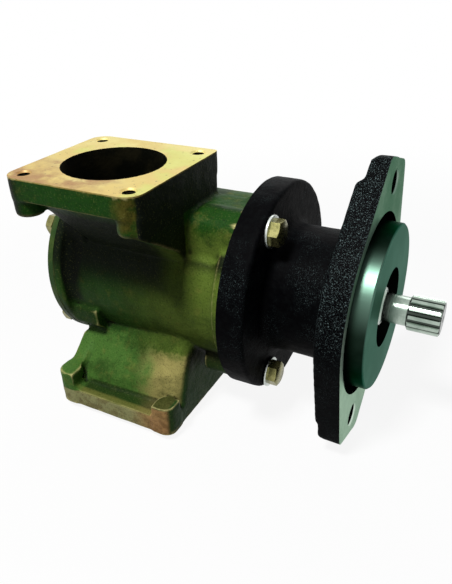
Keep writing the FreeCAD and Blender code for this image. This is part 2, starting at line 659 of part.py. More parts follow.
def engine_flange():
    """Engine flange with its pilot, up to the root of the barrel's fillet."""
    plate = rotated(flange_plate().cut(flange_cuts()), FLANGE_CLOCKING)
    middle = turned([
        (FLANGE_ROOT_X, 0, 0),
        (FLANGE_ROOT_X, BARREL_RADIUS, 0),
        (-FLANGE_THICKNESS, BARREL_RADIUS, BARREL_FILLET),
        (-FLANGE_THICKNESS, PILOT_RADIUS, 0),
        (PILOT_LENGTH - PILOT_CHAMFER, PILOT_RADIUS, 0),
        (PILOT_LENGTH, PILOT_RADIUS - PILOT_CHAMFER, 0),
        (PILOT_LENGTH, 0, 0)])
    groove = ring_x(PILOT_RADIUS + PILOT_GROOVE_WIDTH, PILOT_RADIUS, -PILOT_GROOVE_DEPTH, 1)
    return middle.fuse(plate.cut(groove)).cut([
        disc_x(BEARING_RADIUS + FIT, FLANGE_ROOT_X - 1, SHOULDER_X),
        disc_x(NOSE_BORE_RADIUS, SHOULDER_X - 1, PILOT_LENGTH + 1)])


def adapter_housing():
    """Round flange and barrel over the bearings. The engine flange goes on from its end."""
    trunk = turned([
        (JOINT_X - SPIGOT_LENGTH, 0, 0),
        (JOINT_X - SPIGOT_LENGTH, SPIGOT_RADIUS, 0),
        (JOINT_X, SPIGOT_RADIUS, 0),
        (JOINT_X, ADAPTER_FLANGE_RADIUS, 1),
        (ADAPTER_FLANGE_X, ADAPTER_FLANGE_RADIUS, 2.5),
        (ADAPTER_FLANGE_X, BARREL_RADIUS, BARREL_FILLET),
        (FLANGE_ROOT_X, BARREL_RADIUS, 0),
        (FLANGE_ROOT_X, 0, 0)])
    cuts = [
        disc_x(BEARING_RADIUS + FIT, JOINT_X - SPIGOT_LENGTH - 1, FLANGE_ROOT_X + 1),
        ring_x(BEARING_RADIUS + HOUSING_RING_SEAT + FIT, BEARING_RADIUS - 1,
               REAR_BEARING_X - HOUSING_RING_THICKNESS - FIT, REAR_BEARING_X)]
    for angle in ADAPTER_BOLT_ANGLES:
        y, z = around(angle, ADAPTER_BOLT_RADIUS)
        cuts.append(disc_x(ADAPTER_BOLT_SHANK + HOLE_CLEARANCE, JOINT_X - 1,
                           ADAPTER_FLANGE_X + 1, y, z))
    return trunk.cut(cuts)


def spline_teeth():
    """Teeth of the shaft's driving end, as one toothed bar."""
    bar = disc_x(SPLINE_ROOT_RADIUS, SPLINE_START_X, SHAFT_END_X)
    tooth = prism_x([(SPLINE_ROOT_RADIUS - 0.6, -SPLINE_ROOT_HALF, 0),
                     (SPLINE_TIP_RADIUS + 0.5, -SPLINE_TIP_HALF + 0.15, 0),
                     (SPLINE_TIP_RADIUS + 0.5, SPLINE_TIP_HALF - 0.15, 0),
                     (SPLINE_ROOT_RADIUS - 0.6, SPLINE_ROOT_HALF, 0)],
                    SPLINE_START_X, SHAFT_END_X)
    teeth = [rotated(tooth, index * 360 / SPLINE_TEETH) for index in range(SPLINE_TEETH)]
    blank = turned([(SPLINE_START_X, 0, 0),
                    (SPLINE_START_X, SPLINE_ROOT_RADIUS, 0),
                    (SPLINE_START_X + SPLINE_CHAMFER, SPLINE_TIP_RADIUS, 0),
                    (SHAFT_END_X - SPLINE_CHAMFER, SPLINE_TIP_RADIUS, 0),
                    (SHAFT_END_X, SPLINE_ROOT_RADIUS, 0),
                    (SHAFT_END_X, 0, 0)])
    return bar.multiFuse(teeth).common(blank)


def key_block(gap):
    """Block of the impeller key, grown by a gap on every side for its slots."""
    middle_x = (IMPELLER_X + IMPELLER_END_X) / 2
    half = KEY_LENGTH / 2 + gap
    return prism_x(rectangle(-KEY_WIDTH / 2 - gap, KEY_WIDTH / 2 + gap,
                             SHAFT_PUMP_RADIUS - KEY_HEIGHT / 2 - gap,
                             SHAFT_PUMP_RADIUS + KEY_HEIGHT / 2 + gap, 0),
                   middle_x - half, middle_x + half)


def drive_shaft():
    """One stepped shaft, from the impeller seat to the splined end."""
    ring_x_low = SHOULDER_X
    bar = turned([
        (SHAFT_PUMP_END_X, 0, 0),
        (SHAFT_PUMP_END_X, SHAFT_PUMP_RADIUS - 1, 0),
        (SHAFT_PUMP_END_X + 1, SHAFT_PUMP_RADIUS, 0),
        (SEAL_WEB_X, SHAFT_PUMP_RADIUS, 0),
        (SEAL_WEB_X + 1, SHAFT_BEARING_RADIUS, 0),
        (REAR_BEARING_X - SHAFT_COLLAR_LENGTH, SHAFT_BEARING_RADIUS, 0),
        (REAR_BEARING_X - SHAFT_COLLAR_LENGTH, SHAFT_COLLAR_RADIUS, 0),
        (REAR_BEARING_X, SHAFT_COLLAR_RADIUS, 0),
        (REAR_BEARING_X, SHAFT_BEARING_RADIUS, 0),
        (ring_x_low + FIT / 2, SHAFT_BEARING_RADIUS, 0),
        (ring_x_low + FIT / 2, SHAFT_BEARING_RADIUS - SHAFT_RING_SEAT, 0),
        (ring_x_low + SHAFT_RING_THICKNESS + FIT, SHAFT_BEARING_RADIUS - SHAFT_RING_SEAT, 0),
        (ring_x_low + SHAFT_RING_THICKNESS + FIT, SHAFT_BEARING_RADIUS, 0),
        (JOURNAL_END_X - 1, SHAFT_BEARING_RADIUS, 0),
        (JOURNAL_END_X, SHAFT_BEARING_RADIUS - 1, 0),
        (JOURNAL_END_X, SHAFT_NECK_RADIUS, 1.5),
        (SPLINE_START_X + 1, SHAFT_NECK_RADIUS, 0),
        (SPLINE_START_X + 1, 0, 0)])
    centre_drill = Part.makeCone(0, 2.6, 4, V(SHAFT_END_X - 3.5, 0, 0), V(1, 0, 0))
    return bar.fuse(spline_teeth()).cut([key_block(FIT), centre_drill])


def impeller_hub():
    """Bronze bush in the middle of the impeller, with a keyway."""
    bush = ring_x(METAL_HUB_RADIUS, SHAFT_PUMP_RADIUS + FIT, IMPELLER_X, IMPELLER_END_X)
    keyway = prism_x(rectangle(-KEY_WIDTH / 2 - FIT, KEY_WIDTH / 2 + FIT, 0,
                               SHAFT_PUMP_RADIUS + KEY_HEIGHT / 2 + FIT, 0),
                     IMPELLER_X - 1, IMPELLER_END_X + 1)
    return bush.cut(keyway)


def room_at(y, z):
    """Distance from a place in the chamber to the nearer of its wall and the cam's face."""
    to_wall = CHAMBER_RADIUS - math.hypot(y, z)
    cam_centre_y = CAM_FACE_RADIUS - (CHAMBER_RADIUS - CAM_RISE)
    to_cam = CAM_FACE_RADIUS - math.hypot(y - cam_centre_y, z)
    return min(to_wall, to_cam)


def vane_tip(root_angle):
    """Middle of a vane's bulb: straight out, or leaning back as far as the cam bends it."""
    root_y, root_z = around(root_angle, RUBBER_HUB_RADIUS)
    length = CHAMBER_RADIUS - IMPELLER_GAP / 2 - VANE_TIP_RADIUS - RUBBER_HUB_RADIUS
    for lean in range(0, 90):
        direction = math.radians(root_angle - lean)
        tip_y = root_y + length * math.cos(direction)
        tip_z = root_z + length * math.sin(direction)
        if room_at(tip_y, tip_z) >= VANE_TIP_RADIUS + IMPELLER_GAP / 2 - 1e-6:
            break
    return tip_y, tip_z


def impeller_rubber():
    """Rubber impeller with bulb-tipped vanes, bent where they pass the cam."""
    hub = ring_x(RUBBER_HUB_RADIUS, METAL_HUB_RADIUS, IMPELLER_X, IMPELLER_END_X)
    pieces = []
    for index in range(VANE_COUNT):
        root_angle = (index + 0.5) * 360 / VANE_COUNT
        root_y, root_z = around(root_angle, RUBBER_HUB_RADIUS - 2)
        tip_y, tip_z = vane_tip(root_angle)
        side_y, side_z = around(root_angle + 90, VANE_ROOT_HALF)
        run = math.hypot(tip_y - root_y, tip_z - root_z)
        across_y = -(tip_z - root_z) / run * VANE_TIP_RADIUS * 0.75
        across_z = (tip_y - root_y) / run * VANE_TIP_RADIUS * 0.75
        blade = [(root_y + side_y, root_z + side_z, 0), (root_y - side_y, root_z - side_z, 0),
                 (tip_y - across_y, tip_z - across_z, 0), (tip_y + across_y, tip_z + across_z, 0)]
        pieces.append(prism_x(blade, IMPELLER_X, IMPELLER_END_X))
        pieces.append(disc_x(VANE_TIP_RADIUS, IMPELLER_X, IMPELLER_END_X, tip_y, tip_z))
    return hub.multiFuse(pieces)


def cam():
    """Bronze cam on the chamber's near wall, between the two passages."""
    low_x, high_x = COVER_FACE_X + IMPELLER_GAP, WEAR_PLATE_FACE_X - IMPELLER_GAP / 2
    blank = disc_x(CHAMBER_RADIUS - FIT, low_x, high_x)
    cam_centre_y = CAM_FACE_RADIUS - (CHAMBER_RADIUS - CAM_RISE)
    face = disc_x(CAM_FACE_RADIUS, low_x - 1, high_x + 1, cam_centre_y, 0)
    band = prism_x(rectangle(-CHAMBER_RADIUS, 0, -CAM_HALF_HEIGHT, CAM_HALF_HEIGHT, 0),
                   low_x, high_x)
    pin_hole = Part.makeCylinder(PIN_RADIUS + FIT, CAM_PIN_IN_CAM + FIT + 2,
                                 V(PORT_X, -CHAMBER_RADIUS - 2, 0), V(0, 1, 0))
    return blank.common(band).cut([face, pin_hole])


def cam_pin():
    """Dowel that stops the cam from turning in the chamber."""
    return Part.makeCylinder(PIN_RADIUS, CAM_PIN_DEPTH + CAM_PIN_IN_CAM - 2 * FIT,
                             V(PORT_X, CAM_PIN_IN_CAM - FIT - CHAMBER_RADIUS, 0), V(0, -1, 0))


def wear_plate():
    """Loose plate behind the impeller."""
    plate = ring_x(CHAMBER_RADIUS - FIT, WEAR_PLATE_HOLE, WEAR_PLATE_FACE_X, CHAMBER_END_X)
    hole = disc_x(WEAR_PIN_RADIUS + FIT, WEAR_PLATE_FACE_X - 1, CHAMBER_END_X + 1,
                  WEAR_PIN_CIRCLE, 0)
    return plate.cut(hole)


def wear_plate_pin():
    """Small dowel that stops the wear plate from turning."""
    return disc_x(WEAR_PIN_RADIUS, WEAR_PLATE_FACE_X + FIT, WEAR_PLATE_FACE_X + WEAR_PIN_LENGTH,
                  WEAR_PIN_CIRCLE, 0)


def seal_seat():
    """Ceramic ring that the turning face rubs on."""
    return ring_x(SEAT_RADIUS, SEAT_BORE, SEAT_FACE_X, SEAL_WEB_X - CUP_FLOOR, 0.5)


def seal_seat_cup():
    """Rubber cup that holds the ceramic seat in the body."""
    return turned([(SEAT_BORE_X, SEAT_RADIUS, 0), (SEAT_BORE_X, SEAT_BORE_RADIUS, 0.8),
                   (SEAL_WEB_X, SEAT_BORE_RADIUS, 0), (SEAL_WEB_X, SEAL_WEB_BORE, 0),
                   (SEAL_WEB_X - CUP_FLOOR, SEAL_WEB_BORE, 0),
                   (SEAL_WEB_X - CUP_FLOOR, SEAT_RADIUS, 0)])


def seal_carbon():
    """Turning carbon face ring, with a stepped nose."""
    nose_x = SEAT_FACE_X - FACE_GAP
    bore = SHAFT_PUMP_RADIUS + 0.6
    return turned([(CARBON_X, bore, 0), (CARBON_X, CARBON_RADIUS, 0.5),
                   (nose_x - 1.5, CARBON_RADIUS, 0), (nose_x - 1.5, CARBON_RADIUS - 1.6, 0),
                   (nose_x, CARBON_RADIUS - 1.6, 0), (nose_x, bore, 0)])


def seal_bellows():
    """Rubber bellows that grips the shaft and carries the carbon ring."""
    low_x = IMPELLER_END_X + RETAINER_WALL + FIT
    bore = SHAFT_PUMP_RADIUS + FIT
    middle_x = (low_x + CARBON_X) / 2
    return turned([(low_x, bore, 0), (low_x, BELLOWS_RADIUS, 0.8),
                   (middle_x - 2, BELLOWS_RADIUS, 0.5), (middle_x, BELLOWS_RADIUS - 0.8, 0.5),
                   (middle_x + 2, BELLOWS_RADIUS, 0.5), (CARBON_X, BELLOWS_RADIUS, 0),
                   (CARBON_X, bore, 0)])


def seal_retainer():
    """Pressed steel cup that carries the spring against the impeller's hub."""
    low_x = IMPELLER_END_X
    bore = SHAFT_PUMP_RADIUS + FIT
    inner = RETAINER_RADIUS - RETAINER_WALL
    return turned([(low_x, bore, 0), (low_x, RETAINER_RADIUS, 1),
                   (low_x + RETAINER_SKIRT, RETAINER_RADIUS, 0),
                   (low_x + RETAINER_SKIRT, inner, 0),
                   (low_x + RETAINER_WALL, inner, 0), (low_x + RETAINER_WALL, bore, 0)])


def seal_spring():
    """Coil spring between the retainer and the carbon ring."""
    low_x = IMPELLER_END_X + RETAINER_WALL + SPRING_WIRE + FIT
    high_x = CARBON_X - SPRING_WIRE - FIT
    pitch = (high_x - low_x) / SPRING_TURNS
    path = Part.makeHelix(pitch, high_x - low_x, SPRING_RADIUS)
    circle = Part.Wire(Part.makeCircle(SPRING_WIRE, V(SPRING_RADIUS, 0, 0), V(0, 1, 0)))
    spring = Part.Wire(path).makePipeShell([circle], True, True)
    spring.rotate(V(0, 0, 0), V(0, 1, 0), 90)
    spring.translate(V(low_x, 0, 0))
    return spring


def slinger():
    """Rubber disc on the shaft that throws leakage into the weep hole."""
    bore = SHAFT_BEARING_RADIUS + FIT
    half = SLINGER_WIDTH / 2
    return turned([(SLINGER_X - half, bore, 0), (SLINGER_X - half, bore + 3, 0),
                   (SLINGER_X - 0.6, SLINGER_RADIUS, 0), (SLINGER_X + 0.6, SLINGER_RADIUS, 0),
                   (SLINGER_X + half, bore + 3, 0), (SLINGER_X + half, bore, 0)])


def lip_seal_case():
    """Pressed steel case of the shaft lip seal."""
    high_x = REAR_BEARING_X - HOUSING_RING_THICKNESS - 1
    low_x = high_x - LIP_SEAL_WIDTH
    return turned([(low_x, LIP_SEAL_NECK, 0), (low_x, BEARING_RADIUS, 0.8),
                   (high_x, BEARING_RADIUS, 0), (high_x, BEARING_RADIUS - LIP_CASE_WALL, 0),
                   (low_x + LIP_CASE_WALL, BEARING_RADIUS - LIP_CASE_WALL, 0),
                   (low_x + LIP_CASE_WALL, LIP_SEAL_NECK, 0)])


def lip_seal_rubber():
    """Rubber lip that runs on the shaft."""
    low_x = REAR_BEARING_X - HOUSING_RING_THICKNESS - 1 - LIP_SEAL_WIDTH
    lip = SHAFT_BEARING_RADIUS + FIT
    nose_x = low_x + LIP_EDGE + 2 * LIP_EDGE_WIDTH
    return turned([(low_x, lip + LIP_THICKNESS, 0), (low_x, LIP_SEAL_NECK, 0),
                   (low_x + LIP_CASE_WALL, LIP_SEAL_NECK, 0),
                   (low_x + LIP_BACK, LIP_SEAL_NECK - LIP_EDGE_WIDTH, 0),
                   (nose_x, lip + LIP_NOSE, 0), (nose_x - LIP_EDGE_WIDTH, lip, 0),
                   (low_x + LIP_EDGE, lip, 0), (low_x + LIP_HEEL, lip + LIP_THICKNESS, 0)])


def bearing_middle(low_x):
    """Middle of a bearing along the shaft."""
    return low_x + BEARING_WIDTH / 2


def race_groove(low_x):
    """Ring-shaped tool that cuts the ball track in both rings."""
    return Part.makeTorus(BEARING_PITCH, BALL_RADIUS + BALL_GAP,
                          V(bearing_middle(low_x), 0, 0), V(1, 0, 0))


def bearing_outer(low_x):
    """Outer ring of a ball bearing."""
    ring = ring_x(BEARING_RADIUS, OUTER_RING_BORE, low_x, low_x + BEARING_WIDTH, RING_CHAMFER)
    return ring.cut(race_groove(low_x))


def bearing_inner(low_x):
    """Inner ring of a ball bearing."""
    ring = ring_x(INNER_RING_RADIUS, SHAFT_BEARING_RADIUS, low_x, low_x + BEARING_WIDTH)
    return ring.cut(race_groove(low_x))


def ball_places(low_x):
    """Middles of the balls of a bearing."""
    places = []
    for index in range(BALL_COUNT):
        y, z = around(index * 360 / BALL_COUNT, BEARING_PITCH)
        places.append(V(bearing_middle(low_x), y, z))
    return places


def bearing_balls(low_x):
    """Balls of a bearing."""
    return [Part.makeSphere(BALL_RADIUS, place) for place in ball_places(low_x)]


def bearing_cage(low_x):
    """Pressed cage that keeps the balls apart."""
    middle = bearing_middle(low_x)
    ring = ring_x(BEARING_PITCH + CAGE_HALF_THICKNESS, BEARING_PITCH - CAGE_HALF_THICKNESS,
                  middle - CAGE_HALF_WIDTH, middle + CAGE_HALF_WIDTH)
    pockets = [Part.makeSphere(BALL_RADIUS + CAGE_POCKET_GAP, place)
               for place in ball_places(low_x)]
    return ring.cut(pockets)


def spacer(outer, inner):
    """Sleeve between the two bearings."""
    low_x = REAR_BEARING_X + BEARING_WIDTH
    return ring_x(outer, inner, low_x, FRONT_BEARING_X)


def open_ring(outer, inner, low_x, thickness):
    """Retaining ring, open at the bottom."""
    ring = ring_x(outer, inner, low_x, low_x + thickness)
    reach = 1.2 * outer
    half = math.radians(RING_OPENING / 2)
    gap = prism_x([(0, 0, 0), (-reach * math.sin(half), -reach, 0),
                   (reach * math.sin(half), -reach, 0)], low_x - 1, low_x + thickness + 1)
    return ring.cut(gap)


def housing_ring():
    """Internal retaining ring behind the rear bearing."""
    return open_ring(BEARING_RADIUS + HOUSING_RING_SEAT,
                     BEARING_RADIUS + HOUSING_RING_SEAT - HOUSING_RING_WIDTH,
                     REAR_BEARING_X - HOUSING_RING_THICKNESS, HOUSING_RING_THICKNESS)


def shaft_ring():
    """External retaining ring in front of the front bearing."""
    return open_ring(SHAFT_BEARING_RADIUS - SHAFT_RING_SEAT + SHAFT_RING_WIDTH,
                     SHAFT_BEARING_RADIUS - SHAFT_RING_SEAT + FIT / 2,
                     SHOULDER_X + FIT / 2, SHAFT_RING_THICKNESS)


def cover_o_ring():
    """Rubber ring in the body's end face, under the cover."""
    return Part.makeTorus(O_RING_CIRCLE, O_RING_RADIUS,
                          V(COVER_FACE_X + O_RING_RADIUS + FIT, 0, 0), V(1, 0, 0))


def save(name, solids):
    """Write one sub-part, as one solid or as a group of separate solids."""
    shape = Part.makeCompound(solids) if isinstance(solids, list) else solids
    shape.exportStep("parts/" + name + ".step")


os.makedirs("parts", exist_ok=True)
save("pump_body", pump_body())
save("end_cover", end_cover())
save("cover_o_ring", cover_o_ring())
save("cover_screws", cover_screws())
save("adapter_housing", adapter_housing())
save("engine_flange", engine_flange())
save("adapter_bolts", adapter_bolts())
save("adapter_washers", adapter_washers())
save("drive_shaft", drive_shaft())
save("impeller_rubber", impeller_rubber())
save("impeller_hub", impeller_hub())
save("impeller_key", key_block(0))
save("cam", cam())
save("cam_pin", cam_pin())
save("wear_plate", wear_plate())
save("wear_plate_pin", wear_plate_pin())
save("seal_seat", seal_seat())
save("seal_seat_cup", seal_seat_cup())
save("seal_carbon", seal_carbon())
save("seal_bellows", seal_bellows())
save("seal_retainer", seal_retainer())
save("seal_spring", seal_spring())
save("slinger", slinger())
save("lip_seal_case", lip_seal_case())
save("lip_seal_rubber", lip_seal_rubber())
for name, low_x in (("front_bearing", FRONT_BEARING_X), ("rear_bearing", REAR_BEARING_X)):
    save(name + "_outer_ring", bearing_outer(low_x))
    save(name + "_inner_ring", bearing_inner(low_x))
    save(name + "_balls", bearing_balls(low_x))
    save(name + "_cage", bearing_cage(low_x))
save("outer_spacer", spacer(BEARING_RADIUS, BEARING_RADIUS - SPACER_WALL))
save("inner_spacer", spacer(SHAFT_BEARING_RADIUS + SPACER_WALL, SHAFT_BEARING_RADIUS))
save("housing_retaining_ring", housing_ring())
save("shaft_retaining_ring", shaft_ring())
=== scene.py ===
import math

import bmesh
import bpy
import numpy as np
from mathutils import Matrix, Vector
from mathutils.bvhtree import BVHTree


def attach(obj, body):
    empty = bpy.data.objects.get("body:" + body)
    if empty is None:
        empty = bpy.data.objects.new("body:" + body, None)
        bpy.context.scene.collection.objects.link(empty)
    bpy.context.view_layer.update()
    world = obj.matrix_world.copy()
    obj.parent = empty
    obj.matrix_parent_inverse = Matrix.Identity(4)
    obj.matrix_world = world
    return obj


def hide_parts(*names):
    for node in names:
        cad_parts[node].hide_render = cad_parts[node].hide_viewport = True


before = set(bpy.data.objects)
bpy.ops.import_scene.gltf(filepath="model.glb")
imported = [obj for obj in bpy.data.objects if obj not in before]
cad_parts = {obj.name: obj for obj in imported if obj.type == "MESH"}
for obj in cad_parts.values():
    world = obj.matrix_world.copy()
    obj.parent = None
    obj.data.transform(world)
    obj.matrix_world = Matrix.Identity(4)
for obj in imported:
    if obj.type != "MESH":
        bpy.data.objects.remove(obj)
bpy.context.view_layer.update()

# Pump body. One sand casting in bronze that has gone green, with a square port flange on
# top, a square foot below and a leaning neck to each. Its port faces, joint faces and
# bores are machined bright, and the cast skin between them is left as it came.

MM = 0.001
worked = {}  # For each piece, the tools that have worked it and the surface each has left.


def rounded(corners, turn=10):
    """Points of a closed outline through corners (a, b, radius), each rounded by its radius."""
    points = []
    for index, (a, b, radius) in enumerate(corners):
        here = Vector((a, b))
        if not radius:
            points.append(here)
            continue
        back = (Vector(corners[index - 1][:2]) - here).normalized()
        ahead = (Vector(corners[(index + 1) % len(corners)][:2]) - here).normalized()
        half = back.angle(ahead) / 2
        sweep = math.pi - 2 * half
        centre = here + (back + ahead).normalized() * (radius / math.sin(half))
        start = here + back * (radius / math.tan(half)) - centre
        end = here + ahead * (radius / math.tan(half)) - centre
        steps = max(1, math.ceil(math.degrees(sweep) / turn))
        for step in range(steps + 1):
            share = step / steps
            spoke = start * math.sin((1 - share) * sweep) + end * math.sin(share * sweep)
            points.append(centre + spoke / math.sin(sweep))
    return points


def square_outline(a_low, a_high, b_low, b_high, radius):
    """Outline of a rectangle with one radius on its corners."""
    return rounded([(a_low, b_low, radius), (a_high, b_low, radius),
                    (a_high, b_high, radius), (a_low, b_high, radius)])


def along(axis, height, point):
    """Place in metres of an outline's point at a height along X or Z."""
    if axis == "x":
        return Vector((height, point[0], point[1])) * MM
    return Vector((point[0], point[1], height)) * MM


def in_scene(name, data):
    """Object with this data, linked to the scene."""
    added = bpy.data.objects.new(name, data)
    bpy.context.scene.collection.objects.link(added)
    return added


def object_of(name, mesh):
    """Object with a finished mesh as it is."""
    data = bpy.data.meshes.new(name)
    mesh.to_mesh(data)
    mesh.free()
    return in_scene(name, data)


def piece_of(name, mesh):
    """Makes a piece of a finished mesh, closed and with its faces outwards."""
    bmesh.ops.remove_doubles(mesh, verts=mesh.verts, dist=1e-7)
    bmesh.ops.recalc_face_normals(mesh, faces=mesh.faces)
    return object_of(name, mesh)


def stacked(name, axis, levels):
    """Solid through outlines (height, points) that have as many points each."""
    mesh = bmesh.new()
    loops = [[mesh.verts.new(along(axis, height, point)) for point in points]
             for height, points in levels]
    for low, high in zip(loops, loops[1:]):
        for index in range(len(low)):
            after = (index + 1) % len(low)
            mesh.faces.new((low[index], low[after], high[after], high[index]))
    mesh.faces.new(loops[0])
    mesh.faces.new(loops[-1])
    return piece_of(name, mesh)


def slab(name, axis, low, high, points):
    """Solid of one outline between two heights."""
    return stacked(name, axis, [(low, points), (high, points)])


def turned(name, corners, sides=128, axis="x", centre=(0, 0)):
    """Solid of an outline (height, radius, round) turned about a line along X or Z."""
    mesh = bmesh.new()
    rings = []
    for height, radius in rounded(corners):
        ring = []
        for side in range(sides if radius > 1e-6 else 1):
            angle = side * math.tau / sides
            point = (centre[0] + radius * math.cos(angle), centre[1] + radius * math.sin(angle))
            ring.append(mesh.verts.new(along(axis, height, point)))
        rings.append(ring)
    for index, here in enumerate(rings):
        there = rings[(index + 1) % len(rings)]
        if len(here) == 1 and len(there) == 1:
            continue
        for side in range(sides):
            after = (side + 1) % sides
            corners_here = (here[side], here[after]) if len(here) > 1 else (here[0],)
            corners_there = (there[after], there[side]) if len(there) > 1 else (there[0],)
            mesh.faces.new(corners_here + corners_there)
    return piece_of(name, mesh)


def rod(name, radius, low, high, axis="x", centre=(0, 0), sides=48):
    """Plain round bar."""
    return turned(name, [(low, 0, 0), (low, radius, 0), (high, radius, 0), (high, 0, 0)],
                  sides, axis, centre)


def settle(piece):
    """Turns a piece and its modifiers into one plain mesh."""
    shown = piece.evaluated_get(bpy.context.evaluated_depsgraph_get())
    data = bpy.data.meshes.new_from_object(shown)
    piece.modifiers.clear()
    piece.data = data


def machine(piece, tools, surface, operation="DIFFERENCE"):
    """Cuts the tools out of a piece, or joins them on, and notes the surface that they leave."""
    left_behind = bmesh.new()
    for tool in tools:
        step = piece.modifiers.new("step", "BOOLEAN")
        step.operation = operation
        step.solver = "MANIFOLD"
        step.object = tool
        left_behind.from_mesh(tool.data)
    settle(piece)
    worked.setdefault(piece, []).append((surface, BVHTree.FromBMesh(left_behind)))
    left_behind.free()
    for tool in tools:
        bpy.data.objects.remove(tool)


def shade(piece, angle):
    """Smooth shading that breaks at edges sharper than the angle."""
    mesh = bmesh.new()
    mesh.from_mesh(piece.data)
    for face in mesh.faces:
        face.smooth = True
    for edge in mesh.edges:
        sharp = len(edge.link_faces) != 2 or edge.calc_face_angle() > math.radians(angle)
        edge.smooth = not sharp
    mesh.to_mesh(piece.data)
    mesh.free()


def around(angle, radius):
    """Y and Z of a place on a circle about the shaft, with the angle from +Y towards +Z."""
    turn = math.radians(angle)
    return radius * math.cos(turn), radius * math.sin(turn)


# Millimetres. The stock is metal left on each face for the milling to take off, and each
# bolt boss stands a little nearer the shaft than its bolt.
stock = 3
port_x, port_half, hole_half = -146.5, 45.05, 35.65
left_x, right_x = port_x - port_half, port_x + port_half
upper_y, lower_y, face_z = -45.9, -33.5, 83.3
upper_underside, lower_topside = 69.7, -70.8
upper_bore, lower_bore = 30.75, 27
cover_joint_x, drive_joint_x = -196.6, -71.8
body_radius, cover_flange_radius, drive_flange_radius = 54.5, 60.6, 59
cover_flange_back, drive_flange_back = -191, -80
web_left_x = -109.5
boss_radius, boss_bottom, boss_top = 8.6, 59, 80
pad_size, pad_stands_out, pad_top, front_left_pad_top = 14.5, 0.8, -62, -58
bolt_boss_radius, bolt_boss_back, bolt_boss_nearer = 10.5, -97.8, 0.99
cover_thread_radius, cover_thread_bottom = 4, -180.6
bolt_thread_radius, bolt_thread_bottom = 4.8, -94.5
weep_hole_radius, weep_hole_x = 2.6, -77.2
cover_screw_circle, cover_screw_angles = 53.8, (38, 142, 218, 322)
adapter_bolt_circle, adapter_bolt_angles = 57, (0, 120, 240)
cover_screw_seats = [around(angle, cover_screw_circle) for angle in cover_screw_angles]
adapter_bolt_seats = [around(angle, adapter_bolt_circle) for angle in adapter_bolt_angles]
upper_holes = [(port_x + a, upper_y + b) for a in (-hole_half, hole_half)
               for b in (-hole_half, hole_half)]
lower_holes = [(x, y + lower_y - upper_y) for x, y in upper_holes]

upper_plate = rounded([(left_x, upper_y - port_half, 10),
                       (right_x, upper_y - port_half, 10),
                       (right_x, upper_y + port_half, 3),
                       (left_x, upper_y + port_half, 10)])
lower_plate = square_outline(left_x, right_x, lower_y - port_half, lower_y + port_half, 7)
lower_neck, neck_left_x, neck_back_y = [], -190.5, 4
for height, left_front, right_front in ((-28, -35, -49), (-50, -50, -60), (-72, -68, -65)):
    lower_neck.append((height, rounded([
        (neck_left_x, left_front, 6), (right_x, right_front, 7), (right_x, neck_back_y, 7),
        (neck_left_x, neck_back_y, 6)])))
raw_pieces = [
    turned("barrel", [
        (cover_joint_x - stock, 0, 0), (cover_joint_x - stock, cover_flange_radius, 0),
        (cover_flange_back, cover_flange_radius, 1.5), (cover_flange_back, body_radius, 5.5),
        (drive_flange_back, body_radius, 4), (drive_flange_back, drive_flange_radius, 1),
        (drive_joint_x + stock, drive_flange_radius, 0), (drive_joint_x + stock, 0, 0)], 160),
    slab("upper_plate", "z", upper_underside, face_z + stock, upper_plate),
    stacked("upper_neck", "z", [
        (28, square_outline(-176, right_x, -47, -3, 7)),
        (upper_underside + 2, square_outline(-184, right_x, -84.5, -6, 7))]),
    slab("web", "x", web_left_x, right_x, rounded([
        (-88, 71, 0), (-3, 71, 0), (-3, 28, 0), (-47, 33.5, 0), (-88, 60, 4)])),
    slab("lower_plate", "z", -face_z - stock, lower_topside, lower_plate),
    stacked("lower_neck", "z", lower_neck),
    slab("deck", "x", web_left_x, drive_joint_x + stock, rounded([
        (-43, 0, 0), (0, 0, 0), (0, 57.5, 6), (-43, 57.5, 12)]))]
for place in upper_holes:
    raw_pieces.append(turned("upper_boss", [
        (boss_bottom, 0, 0), (boss_bottom, boss_radius, 2.5), (boss_top, boss_radius, 0),
        (boss_top, 0, 0)], 48, "z", place))
for x, y in lower_holes:
    side_x, side_y = math.copysign(1, x - port_x), math.copysign(1, y - lower_y)
    outer_x = port_x + side_x * (port_half + pad_stands_out)
    outer_y = lower_y + side_y * (port_half + pad_stands_out)
    inner_x, inner_y = outer_x - side_x * pad_size, outer_y - side_y * pad_size
    top = front_left_pad_top if side_x < 0 and side_y < 0 else pad_top
    pad = rounded([(outer_x, outer_y, 7), (inner_x, outer_y, 0), (inner_x, inner_y, 6),
                   (outer_x, inner_y, 0)])
    raw_pieces.append(slab("pad", "z", -face_z - stock, top, pad))
pad_web = rounded([(-74, -72, 0), (-50, -72, 0), (-46, -44, 0), (-54, -51.5, 8),
                   (-61, -57.6, 6), (-74, -58.4, 0)])
raw_pieces.append(slab("pad_web", "x", -191.6, -181, pad_web))
for y, z in cover_screw_seats:
    lug, lug_end = square_outline(y - 6.5, y + 6.5, z - 7, z + 7, 2), -177
    if z < 0:
        side = math.copysign(1, y)
        lug = rounded([(side * 36, -20, 0), (side * 54, -20, 1), (side * 53.5, -32.5, 1),
                       (side * 46, -38.5, 2), (side * 36, -41, 0)])
        lug_end = -171
    raw_pieces.append(slab("lug", "x", cover_flange_back - 1, lug_end, lug))
for y, z in adapter_bolt_seats:
    raw_pieces.append(rod("boss", bolt_boss_radius, bolt_boss_back, drive_joint_x + stock, "x",
                          (y * bolt_boss_nearer, z * bolt_boss_nearer)))


